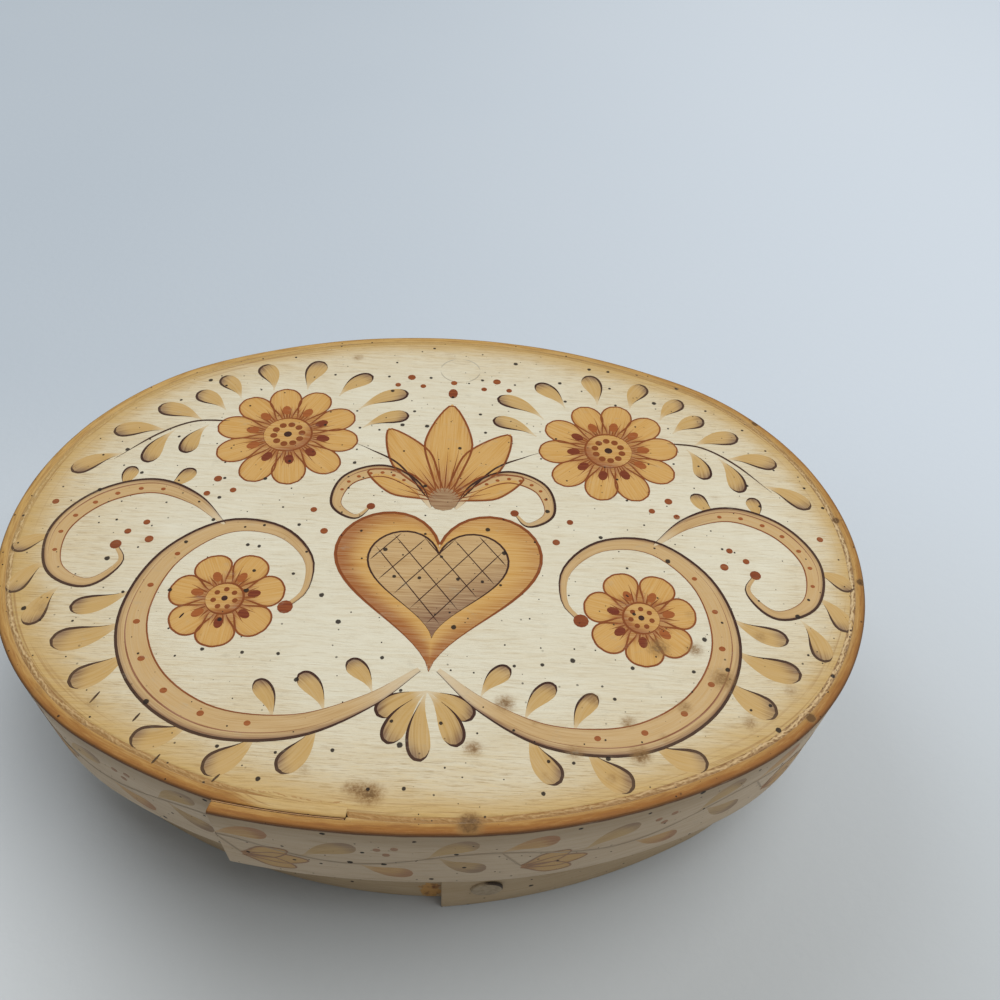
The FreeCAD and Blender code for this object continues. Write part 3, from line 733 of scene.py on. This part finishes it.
def rivetBody(level, top):
    # Peened end, shank, and a low domed head with a painted shadow round its flank, most at the upper right
    head, bevel, shank, peen = (rivets[key] for key in ("head", "bevel", "shank", "peen"))
    end, rove, under = rivets["peenFrom"], rivets["roveFrom"], top - rivets["thick"]
    stem = [(0.02, end), (1.0, end), (1.5, end + 0.10), (peen, rove - 0.15), (peen, rove), (shank, rove),
            (shank, under), (head - 0.1, under), (head, under + 0.08)]
    bend = np.linspace(0, math.pi / 2, 6)
    flank = [(head - bevel * (1 - math.cos(t)), top - bevel * (1 - math.sin(t)) - 0.05) for t in bend]
    dome = [(head * q, top - 0.05 * q ** 2) for q in (0.80, 0.6, 0.4, 0.2, 0.02)]
    profile = stem + flank + dome
    grid, turn = lathe(profile, level)
    row = np.arange(len(profile))
    # the painted shadow where the head stands off the wall: faint all round, darkest at the upper right
    corner = 0.5 + 0.5 * np.cos(turn - math.radians(35))
    headShadow = smooth(np.array(profile)[:, 0], 3.0, 3.5)[:, None] * (0.10 + 1.0 * corner ** 2)
    headShadow = headShadow * (row >= len(stem) - 1)[:, None]
    steel = np.repeat(row[:-1] < len(stem) - 1, len(turn))
    material = np.concatenate([steel, np.ones(len(turn)), np.zeros(len(turn))]).astype(int)
    return tube(grid, {"headShadow": headShadow}, material)


def roveRing(level):
    # A dished washer, hammered a little thinner at its edge
    shank, edge, low, high = (rivets[key] for key in ("shank", "rove", "roveFrom", "roveTo"))
    profile = [(shank, low), (2.2, low), (2.9, low + 0.12), (edge - 0.02, low + 0.34), (edge, high - 0.2),
               (edge - 0.12, high), (2.2, high), (shank, high)]
    return loopTube(lathe(profile, level)[0], {})


print("rivets")
for place, level, proud in (("Lower", 10.7, 0.7), ("Upper", 34.0, 0.04)):
    piece("rivet" + place, [rivetBody(level, rivetGrip + proud)], [rivetPaint, rivetSteel], "base",
          replaces=["base_rivet_" + place.lower()])
    piece("rove" + place, [roveRing(level)], [rivetSteel], "base", sharp=35,
          replaces=["base_rove_" + place.lower()])


def evenly(line, count):
    run = runOf(line)
    even = np.linspace(0, run[-1], count)
    return np.stack([np.interp(even, run, line[:, k]) for k in (0, 1)], -1)


def throughPoints(points, count):
    # A smooth line through given points (Catmull-Rom), as evenly spaced samples
    points = np.asarray(points, float)
    padded = np.vstack([2 * points[0] - points[1], points, 2 * points[-1] - points[-2]])
    spots = np.linspace(0, len(points) - 1 - 1e-9, 60 * len(points))
    i = spots.astype(int)
    t = (spots - i)[:, None]
    a, b, c, d = padded[i], padded[i + 1], padded[i + 2], padded[i + 3]
    line = 0.5 * (2 * b + (c - a) * t + (2 * a - 5 * b + 4 * c - d) * t ** 2 + (3 * b - a - 3 * c + d) * t ** 3)
    return evenly(line, count)


def leftward(line):
    ahead = np.gradient(line, axis=0)
    ahead /= np.linalg.norm(ahead, axis=1)[:, None] + 1e-9
    return np.stack([-ahead[:, 1], ahead[:, 0]], -1)


# A stroke is a list of pairs, each a pigment's name and a part: a grid of places and heights over the ground, with
# its tone, cover and bristle marks. Its foot lies this far under the ground.
footLevel = -0.02


def ribbon(family, line, width, tone, cover, lift=0.004, rise=0.010, columns=5):
    # A lens-shaped ribbon along a line: width is its half width, tone and cover are rows x columns or plain
    s = np.linspace(-1, 1, columns)
    xy = line[:, None] + leftward(line)[:, None] * (width[:, None] * s)[..., None]
    top = np.dstack([xy, np.broadcast_to(lift + rise * (1 - s ** 2), xy.shape[:2])])
    foot = np.dstack([line[:, None], np.full((len(line), 1, 1), footLevel)])
    rows, seed = (len(line), columns), rng.uniform(0, 400)
    hair = np.dstack([np.broadcast_to(runOf(line)[:, None] + seed, rows), width[:, None] * s, np.full(rows, seed)])
    marks = {"tone": np.broadcast_to(tone, rows), "cover": np.broadcast_to(cover, rows), "bristle": hair}
    middle = slice(columns // 2, columns // 2 + 1)
    marks = {key: np.concatenate([value, value[:, middle]], 1) for key, value in marks.items()}
    return [(family, {"grid": np.concatenate([top, foot], 1), **marks})]


def fill(family, outline, centre, toneOf, lift=0.024, rise=0.010, rings=12):
    # A closed outline filled by shrinking it towards its centre; toneOf takes share of the way out and position
    shares = np.linspace(0.02, 1, rings)
    levels = np.concatenate([lift + rise * (1 - shares ** 2), [footLevel, footLevel]])
    shares = np.concatenate([shares, [1.0, 0.5]])
    centre = np.asarray(centre, float)
    xy = centre + (outline - centre)[None] * shares[:, None, None]
    rows, seed = xy.shape[:2], rng.uniform(0, 400)
    tone = toneOf(np.broadcast_to(shares[:, None], rows), xy[..., 0] - centre[0], xy[..., 1] - centre[1])
    hair = np.dstack([xy[..., 0] + seed, xy[..., 1], np.full(rows, seed)])
    grid = np.dstack([xy, np.broadcast_to(levels[:, None], rows)])
    return [(family, {"grid": grid, "tone": tone, "cover": np.ones(rows), "bristle": hair})]


def liner(family, line, thick, tips=(0.25, 0.25), cover=1.0, lift=0.044, count=None):
    # A thin brush line that swells and tapers over these shares of its length
    line = np.asarray(line, float)
    line = evenly(line, count or max(8, min(60, int(np.hypot(*np.diff(line, axis=0).T).sum() / 0.8))))
    t = np.linspace(0, 1, len(line))
    width = thick / 2 * (0.12 + 0.88 * smooth(t, 0, tips[0]) * (1 - smooth(t, 1 - tips[1], 1)))
    return ribbon(family, line, width, 0.5, cover, lift, 0.008, 3)


def dab(family, centre, radius, tone=0.5, stretch=1.0, angle=0.0, lift=0.044):
    c, s = math.cos(angle), math.sin(angle)
    outline = ray(rounds(12)) * (radius * stretch, radius) @ np.array([[c, s], [-s, c]])
    return fill(family, outline + centre, centre, lambda share, x, y: np.full(share.shape, tone), lift, 0.008, 4)


def comma(tail, head, bend, width, side, tone=0.3):
    # A loaded brush pressed and lifted: thin tail, full round head, a dark line down one side and round the head
    tail, head = np.asarray(tail, float), np.asarray(head, float)
    across = np.array([-(head - tail)[1], (head - tail)[0]])
    t = np.linspace(0, 1, 60)[:, None]
    bow = (1 - t) ** 2 * tail + 2 * t * (1 - t) * ((tail + head) / 2 + across * bend) + t ** 2 * head
    line, t, s = evenly(bow, 34), np.linspace(0, 1, 34), np.linspace(-1, 1, 5)
    roundHead = np.sqrt(np.clip(1 - np.clip((t - 0.78) / 0.22, 0, 1) ** 2, 0, 1))
    half = width * 0.62 * (0.07 + 0.93 * smooth(t, 0.0, 0.72)) * np.maximum(roundHead, 0.02)
    shade = tone - 0.28 + 0.55 * np.clip(side * s, 0, 1) * smooth(t, 0.2, 0.9)[:, None]
    shade = shade + 0.60 * smooth(t, 0.66, 1)[:, None] - 0.10 * np.clip(-side * s, 0, 1)
    body = ribbon("leaf", line, half, shade, (0.40 + 0.60 * smooth(t, 0, 0.35))[:, None])
    aside = leftward(line) * (half * side * 0.93)[:, None]
    path = np.vstack([(line + aside)[int(rng.integers(5, 11)):], (line - aside)[:-6:-1]])
    return body + liner("umber", path, 0.56 * min(1.15, width / 3.4), (0.5, 0.2), lift=0.016, count=44)


def petal(base, angle, length, width, outline, veins, pointed=0.0):
    # One petal: narrow foot, full beyond the middle, rust at the foot and along its edges
    t, s = np.linspace(0, 1, 18), np.linspace(-1, 1, 7)
    line = np.asarray(base, float) + ray(angle) * (t * length)[:, None]
    blunt = np.sqrt(np.clip(1 - np.clip((t - 0.62) / 0.38, 0, 1) ** 2, 0, 1))
    keen = 1 - np.clip((t - 0.5) / 0.5, 0, 1) ** 1.5
    half = width / 2 * (0.30 + 0.70 * smooth(t, 0, 0.6)) * np.maximum((1 - pointed) * blunt + pointed * keen, 0.02)
    shade = 0.10 + 0.75 * (1 - smooth(t, 0.0, 0.5))[:, None] + 0.30 * smooth(np.abs(s), 0.6, 1)
    shade = shade + 0.2 * smooth(t, 0.85, 1)[:, None]
    parts = ribbon("bloom", line, half, shade, 1.0, 0.022, columns=7)
    aside = leftward(line) * half[:, None]
    parts += liner("rust", np.vstack([line + aside, (line - aside)[::-1]]), outline, (0.12, 0.12), count=34)
    for k in range(veins):
        off = (k - (veins - 1) / 2) * 0.9 / max(1, veins - 1)
        reach = 0.52 + 0.12 * rng.uniform(-1, 1)
        parts += liner("rust", (line + aside * off)[1:int(18 * reach)], 0.34, (0.1, 0.7), count=8)
    return parts


def bloom(centre, count, inner, outer, turn, veins, seeds):
    # Petals side by side on an ochre round, a dark eye with a ring of dots, and a seed on each petal's foot
    centre, full, core = np.array(centre, float), inner + 0.62 * (outer - inner), inner * 1.15
    width = 2 * math.pi * full / count * 0.98
    parts = fill("bloom", ray(rounds(40)) * full * 0.96 + centre, centre,
                 lambda share, x, y: 0.45 + 0.3 * (1 - share), 0.010, 0.004, 6)
    for k in range(count):
        angle = turn + 2 * math.pi * k / count + rng.uniform(-0.03, 0.03)
        length = (outer - inner) * rng.uniform(0.96, 1.03)
        parts += petal(centre + ray(angle) * inner, angle, length, width, 0.42, veins)
    ring = ray(rounds(26)) * core + centre
    parts += fill("bloom", ring, centre, lift=0.040, rings=7, toneOf=lambda share, x, y: (
        0.25 + 0.75 * smooth((-x - y) / core, -0.2, 1.1) * smooth(share, 0.3, 1)))
    parts += liner("rust", np.vstack([ring, ring[:1]]), 0.5, (0.3, 0.3), lift=0.05, count=30)
    for k in range(count):
        angle = turn + 2 * math.pi * (k + 0.5) / count
        parts += dab("rust", centre + ray(angle) * core * 0.58, core * 0.15, lift=0.05)
        angle = turn + 2 * math.pi * k / count
        spot, tone = centre + ray(angle) * (inner + (outer - inner) * 0.30), 0.25 + 0.5 * (math.cos(angle + 2.4) > 0)
        parts += dab("berry", spot, seeds, tone, 1.45, angle, 0.05)
    return parts + dab("umber", centre, core * 0.17, lift=0.055)


def scroll(points, width, side):
    # A long scroll: thin, swelling, then thin again into a curl that ends in a drop
    line, t, s = throughPoints(points, 90), np.linspace(0, 1, 90), np.linspace(-1, 1, 7)
    half = width / 2 * (0.16 + 0.84 * np.sin(math.pi * t ** (0.35 / 0.45)) ** 1.2)
    shade = 0.02 + 0.80 * smooth(side * s, 0.42, 1.0) + 0.20 * smooth(-side * s, 0.72, 1.0)
    shade = shade + 0.12 * np.sin(t * 9)[:, None]
    parts = ribbon("scroll", line, half, shade, (0.5 + 0.5 * smooth(t, 0, 0.12))[:, None], 0.024, columns=7)
    out = leftward(line) * (half * side)[:, None]
    parts += liner("umber", line + out, 0.62, (0.2, 0.15), count=70)
    parts += liner("rust", (line - out * 0.96)[4:82], 0.36, (0.4, 0.5), cover=0.9, count=60)
    parts += liner("rust", (line + out * 0.42)[12:60], 0.38, (0.5, 0.5), cover=0.8, count=50)
    for k in range(22, 60, 6):
        # berries along the swell, larger where it is wide
        parts += dab("berry", line[k] - out[k] * 0.28, 0.15 + 0.15 * half[k], 0.35, 1.2, lift=0.050)
    return parts + dab("berry", line[-1], width * 0.26, 0.6, lift=0.050)


def stem(points):
    return liner("umber", throughPoints(points, 40), 0.55, (0.1, 0.4), cover=0.9)


def heartLine(centre, size):
    # The common heart curve: 16 sin cubed against 13, -5, -2, -1 times the cosines of one to four turns
    t = rounds(72)
    y = 13 * np.cos(t) - 5 * np.cos(2 * t) - 2 * np.cos(3 * t) - np.cos(4 * t)
    return np.stack([16 * np.sin(t) ** 3, y], -1) * size + centre


def heart(centre, size):
    outer, inner = heartLine(centre, size), heartLine(centre, size * 0.68)
    parts = fill("bloom", outer, centre, rings=18, toneOf=lambda share, x, y: (
        0.08 + 0.85 * smooth(share, 0.66, 1.0) * (0.45 + 0.55 * smooth(-x - 0.6 * y, -10, 18))))
    parts += fill("scroll", inner, centre, lift=0.036, rise=0.006, rings=10, toneOf=lambda share, x, y: (
        0.20 + 0.65 * smooth(x * 0.5 - y, -4, 20)))
    for family, line, thick, tip, lift in (("rust", outer, 0.75, 0.25, 0.05), ("umber", inner, 0.5, 0.3, 0.055)):
        parts += liner(family, np.vstack([line[36:], line[:37]]), thick, (tip, tip), lift=lift, count=60)
    # a trellis inside the small heart: slanting lines cut where they leave it
    edge = inner - centre
    angles = np.arctan2(edge[:, 1], edge[:, 0])
    order = np.argsort(angles)
    angles, reach = angles[order], np.hypot(*edge.T)[order]
    for slope in (math.radians(52), math.radians(128)):
        d, n = ray(slope), ray(slope + math.pi / 2)
        for step in np.arange(-3, 4) * 3.6 * size:
            spots = d * np.linspace(-30, 30, 241)[:, None] + n * step + (0, -2 * size)
            limit = np.interp(np.arctan2(spots[:, 1], spots[:, 0]), angles, reach, period=2 * math.pi) * 0.97
            run = spots[np.hypot(*spots.T) < limit]
            if len(run) > 12:
                parts += liner("umber", run[[0, -1]] + centre, 0.26, (0.02, 0.02), cover=0.85, lift=0.048, count=10)
    return parts


def mirrored(parts):
    # The same strokes on the other side, each with its own bristle marks
    flipped = []
    for family, part in parts:
        copy = {key: np.array(value) for key, value in part.items()}
        copy["grid"][..., 0] *= -1
        copy["bristle"] = copy["bristle"] + (rng.uniform(20, 90), 0, rng.uniform(3, 9))
        flipped.append((family, copy))
    return flipped


lidHalf = {
    # scrolls: width, side, points; stems: points
    "scrolls": [(6.6, -1, [(2, -39), (12, -47), (26, -53), (43, -52.5), (57, -44), (64, -30), (61.5, -14), (51, -3.5),
                           (38.5, -3.5), (30, -11), (29, -20), (32.5, -25)]),
                (5.0, 1, [(51, -2.5), (60, 5), (71, 8.5), (82, 4), (88, -6), (85.5, -17), (77, -21), (71.5, -15),
                          (74, -10)]),
                (4.0, 1, [(3, 6), (8, 13.5), (16, 17.5), (24, 14), (26, 6), (21, 2), (17.5, 5.5)])],
    "stems": [[(4, 9), (12, 20), (20, 25), (24, 27)], [(58, 33), (67, 32), (75, 26.5), (83, 17)]],
    # comma strokes: tail, head, bend, width, side
    "commas": [((60, 37), (69, 43), 0.18, 4.0, -1), ((65, 32.5), (77.5, 36.5), 0.18, 4.2, -1),
               ((73, 28), (86, 26.5), 0.2, 4.2, -1), ((63, 31), (66, 20.5), 0.22, 3.8, 1),
               ((71, 28.5), (74.5, 16.5), 0.2, 3.8, 1), ((81, 19), (91.5, 12), 0.2, 4.0, -1),
               ((31, 45), (23, 54), -0.2, 4.0, -1), ((40, 47), (37.5, 59), -0.15, 4.4, -1),
               ((49, 46), (54, 56), 0.18, 4.2, -1), ((23, 33), (11.5, 38.5), -0.2, 3.8, 1),
               ((25, 40), (12.5, 47.5), -0.2, 4.0, 1), ((57, 42), (64, 50), 0.18, 3.8, -1),
               ((62, -37), (72, -45.5), -0.2, 4.4, 1), ((65, -30), (79, -36), -0.2, 4.6, 1),
               ((66, -22), (78, -27.5), -0.18, 3.8, 1), ((21, -52), (27, -62), -0.2, 4.0, 1),
               ((32, -54.5), (41, -62.5), -0.2, 4.2, 1), ((45, -53), (56, -57), -0.2, 4.0, 1),
               ((88, -8), (96, -13), 0.2, 3.4, -1), ((87, -15), (92, -24.5), 0.2, 3.6, -1),
               ((82, -22), (85, -32.5), 0.2, 3.8, -1), ((11, -45), (17, -38), 0.2, 3.2, 1),
               ((20, -50), (26.5, -41.5), 0.2, 3.2, 1), ((30, -52), (35, -43.5), 0.2, 3.0, 1),
               ((68, 8), (63, 15), 0.2, 3.2, -1), ((77, 7), (77, 14.5), -0.2, 3.0, -1)],
    # dots: place, radius
    "dots": [((12, 54.5), 1.1), ((8.5, 51), 0.8), ((15.5, 51), 0.8), ((67, -8), 1.0), ((69, -3), 0.8),
             ((72.5, -6), 0.8), ((27.5, -3), 0.9), ((31, 3.5), 0.8), ((92, 2), 0.8), ((56, 12), 1.0),
             ((51.5, 8.5), 0.8), ((57.5, 7), 0.8)],
}
# from the lid's middle line: petals of the palmette and leaves under the heart, each with its lean in degrees first
palmette = [(0, 35, 13.0), (33, 29, 11.0), (-33, 29, 11.0), (66, 21, 8.6), (-66, 21, 8.6)]
spray = [(0, 15), (30, 13.5), (-30, 13.5), (58, 11), (-58, 11)]


def lidDesign():
    # A heart with a palmette over it, scrolls and round blooms to both sides, loose leaves and dots between
    half = []
    for width, side, points in lidHalf["scrolls"]:
        half += scroll(points, width, side)
    half += bloom((46, -23.5), 7, 3.6, 12.8, turn=0.2, veins=2, seeds=1.0)
    half += bloom((42, 29), 10, 5.4, 18.4, turn=0.1, veins=3, seeds=1.2)
    for points in lidHalf["stems"]:
        half += stem(points)
    for stroke in lidHalf["commas"]:
        half += comma(*stroke)
    for spot, size in lidHalf["dots"]:
        half += dab("berry", spot, size)
    parts = heart((0, -14), 1.5) + half + mirrored(half)
    for lean, length, width in palmette:
        foot = (0.8 * math.sin(math.radians(lean)), 9)
        parts += petal(foot, math.radians(90 - lean), length, width, 0.55, 3, 0.75)
    parts += dab("scroll", (0, 9), 3.8, 0.6, lift=0.046) + dab("berry", (0, 48.5), 1.3, 0.6, 1.5, 1.57)
    parts += dab("berry", (0, 53), 0.9, 0.4)
    for lean, length in spray:
        side = 1 if lean > 0 else -1
        parts += comma((0, -44), ray(math.radians(lean - 90)) * length + (0, -44), 0.14 * side, 3.8, side)
    return parts + ageMarks()


# short dark scratches at the front left: x, y, length, lean
scratches = [(-65.7, -48.7, 1.5, 1.15), (-56.3, -52.6, 1.1, 1.1), (-62.0, -58.2, 0.9, 1.0), (-50.1, -61.0, 1.2, 1.05),
             (-38.0, -64.2, 1.0, 0.9), (-54.0, -28.5, 0.8, 1.1)]


def ageMarks():
    # Not painted by hand: a faint broken ring near the back edge, and the scratches
    marks = []
    for first, last in ((0.1, 1.5), (1.8, 3.0), (3.2, 4.9), (5.1, 6.2)):
        arc = ray(np.linspace(first, last, 20)) * (5.6, 5.1) + (1.5, 58.6)
        marks += liner("umber", arc, 0.34, cover=0.30, lift=0.004, count=20)
    for x, y, length, lean in scratches:
        marks += dab("umber", (x, y), 0.22, 0.8, length / 0.22, lean)
    return marks


# The vine on the lid's side. A leaf has its foot's and head's share of the wave, its head's height over the stem, its
# bend, width, side, tone and pigment.
vine = {"wave": 55.2, "middle": 37.3, "sway": 3.2, "start": -276, "count": 10,
        "leaves": [(0.04, 0.22, 5.0, 0.2, 4.2, 1, 0.45, "leaf"), (0.30, 0.50, 6.6, 0.2, 4.4, 1, 0.65, "bloom"),
                   (0.08, 0.25, -8.4, -0.2, 4.4, -1, 0.65, "leaf"), (0.60, 0.80, 8.4, 0.2, 4.4, 1, 0.45, "leaf"),
                   (0.80, 0.99, -6.8, -0.2, 4.2, -1, 0.65, "bloom")]}


def sideDesign():
    # A running vine round the lid: a waving stem with soft leaves and three-drop buds, half rubbed away
    parts = []

    def at(share, up=0.0):
        height = vine["middle"] + vine["sway"] * np.sin(2 * math.pi * share) + up
        return np.stack([vine["start"] + vine["wave"] * (wave + share), height], -1)

    for wave in range(vine["count"]):
        parts += liner("umber", at(np.linspace(0, 1, 26)), 0.55, (0.05, 0.05), cover=0.50, count=40)
        for foot, head, up, bend, width, side, tone, family in vine["leaves"]:
            body = comma(at(foot), at(head, up), bend, width, side, tone)[0][1]
            parts.append((family, body))
        bud = at(0.38, -7.6)
        for lean, length in ((-0.42, 11.0), (0.42, 11.0), (0, 13.5)):
            parts += petal(bud, 0.10 + lean, length, 5.4, 0.40, 1, 0.6)
        parts += liner("umber", [at(0.30), (at(0.33) + bud) / 2 + (0, -1.5), bud], 0.45, cover=0.5, count=12)
        for spot in (at(0.9, 4.4), at(0.93, 7.0), at(0.87, 7.2)):
            parts += dab("rust", spot, 0.75, 0.4)
    return parts


def onTop(part):
    # Raised from the panel's top
    marks = {**topMarks(part["grid"]), **{key: part[key] for key in ("tone", "cover", "bristle")}}
    return tube(part["grid"] + (0, 0, marksOnTop["topLevel"]), marks)


def onSide(part):
    # Length along the wall and height, wrapped on the strip's outer face and lifted square to it
    u, level, lift = np.moveaxis(part["grid"], -1, 0)
    fine = np.linspace(-math.pi * 1.2, math.pi * 1.2, 6001)
    turn = np.interp(u, arcLength(fine), fine)
    offset = lapRise(turn, lidStrip) + wallWave(turn, level, lidStrip) + lift
    xy = ovalPoint(turn - math.pi / 2, 0) + facing(turn) * offset[..., None]
    marks = {"lay": part["grid"] * (1, 1, 0), "stain": np.zeros(u.shape)}
    return tube(np.dstack([xy, level]), {**marks, **{key: part[key] for key in ("tone", "cover", "bristle")}})


# how well each pigment covers, on the lid's top and on its side
covers = {"leaf": (0.95, 0.66), "bloom": (1.00, 0.70), "scroll": (0.96, 0.62), "berry": (1.15, 0.66),
          "rust": (1.20, 0.64), "umber": (1.30, 0.60)}


def layPaint(parts, place, prefix, tones, top):
    for family, cover in covers.items():
        chosen = [place(part) for kind, part in parts if kind == family]
        if chosen:
            name = prefix + family.capitalize()
            finish = brushed(name + "Paint", family + "Light", family + "Dark", tones, top, cover[0 if top else 1])
            piece(name, chosen, [finish], "lid", sharp=80)


print("painted strokes")
layPaint(lidDesign(), onTop, "lidTop", lidTones, True)
layPaint(sideDesign(), onSide, "lidSide", sideTones, False)


def turned(obj, axes, place):
    # Puts a camera or lamp at its place in metres with these axes
    matrix = np.eye(4)
    matrix[:3, :3], matrix[:3, 3] = axes, place
    obj.matrix_world = Matrix(matrix.tolist())


view = {"place": (8.849, -131.589, 206.097), "pitch": 0.8353009, "roll": 0.0770202, "heading": 0.03533347,
        "lens": 30.670, "sensor": 36, "near": 0.005, "far": 20}


def addCamera():
    # Looks level, then pitched down, rolled about its own axis and turned by the heading
    forward = np.array([0, math.cos(view["pitch"]), -math.sin(view["pitch"])])
    right = np.array([1.0, 0, 0])
    up = np.cross(right, forward)
    c, s = math.cos(view["roll"]), math.sin(view["roll"])
    right, up = c * right + s * up, -s * right + c * up
    c, s = math.cos(view["heading"]), math.sin(view["heading"])
    axes = np.array([[c, s, 0], [-s, c, 0], [0, 0, 1]]) @ np.stack([right, up, -forward], 1)
    data = bpy.data.cameras.new("camera")
    data.sensor_width, data.lens = view["sensor"], view["lens"]
    data.clip_start, data.clip_end = view["near"], view["far"]
    camera = linked("camera", data)
    turned(camera, axes, np.array(view["place"]) * mm)
    bpy.context.scene.camera = camera


def addLamp(name, place, aim, size, power, colour):
    data = bpy.data.lights.new(name, "AREA")
    data.shape, data.size, data.energy, data.color = "DISK", size, power, colour
    away = np.array(place, float) - np.array(aim, float)
    away /= np.linalg.norm(away)
    right = np.cross((0, 0, 1), away)
    right /= np.linalg.norm(right)
    turned(linked(name, data), np.stack([right, np.cross(away, right), away], 1), place)


def addFloor():
    # A pale card with painted light and shade: greyer in front with a painted shadow across the middle, bluer behind,
    # lightest at the right
    half, level = 3.0, -0.0001
    mesh = bpy.data.meshes.new("floor")
    mesh.from_pydata([(-half, -half, level), (half, -half, level), (half, half, level), (-half, half, level)], [],
                     [(0, 1, 2, 3)])
    f = Finish("floorCard", Roughness=0.7)
    spot = f.place()
    x, y = (f.node("ShaderNodeSeparateXYZ", {}, {0: spot}, k) for k in (0, 1))
    behind = f.mix(f.step(x, -220.0, 260.0), "behindLeft", "behindRight")
    front = f.mix(f.step(x, -135.0, -25.0), "frontLeft", "frontShadow")
    front = f.mix(f.step(x, 50.0, 230.0), front, "frontRight")
    colour = f.mix(f.step(y, -100.0, 120.0), front, behind)
    colour = f.mix(f.noise(spot, 0.006, 2.0) * 0.2, colour, "floorCloud")
    mesh.materials.append(f.finishWith(colour, None, f.noise(spot, 0.3, 3.0), 0.0001))
    linked("floor", mesh)


def addWorld():
    # Lights the part with one tone and shows the camera another
    world = bpy.data.worlds.new("surroundings")
    world.use_nodes = True
    nodes, links = world.node_tree.nodes, world.node_tree.links
    light, seen = nodes["Background"], nodes.new("ShaderNodeBackground")
    light.inputs["Color"].default_value = (1.0, 0.985, 0.96, 1)
    light.inputs["Strength"].default_value = 0.29
    seen.inputs["Color"].default_value = (0.86, 0.90, 0.95, 1)
    path, blend = nodes.new("ShaderNodeLightPath"), nodes.new("ShaderNodeMixShader")
    for place, source in enumerate((path.outputs["Is Camera Ray"], light.outputs[0], seen.outputs[0])):
        links.new(source, blend.inputs[place])
    links.new(blend.outputs[0], nodes["World Output"].inputs["Surface"])
    bpy.context.scene.world = world


print("camera, lamps and floor")
addCamera()
addFloor()
addWorld()
addLamp("softbox", (0.80, 0.20, 1.85), (0.03, 0.02, 0.0), 1.8, 35, (1.0, 0.99, 0.97))
addLamp("window", (-0.9, 1.1, 1.5), (0.0, 0, 0.03), 1.0, 8, (0.97, 0.985, 1.0))
bpy.context.scene.view_settings.view_transform = "Standard"

# what stays as the CAD shows it: glue in the laps and brads sunk in the walls
for name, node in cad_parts.items():
    finish = glueFinish if "glue" in name else bradSteel if "brad" in name else pineBlock
    for place in range(len(node.data.materials)):
        node.data.materials[place] = finish

print("done")
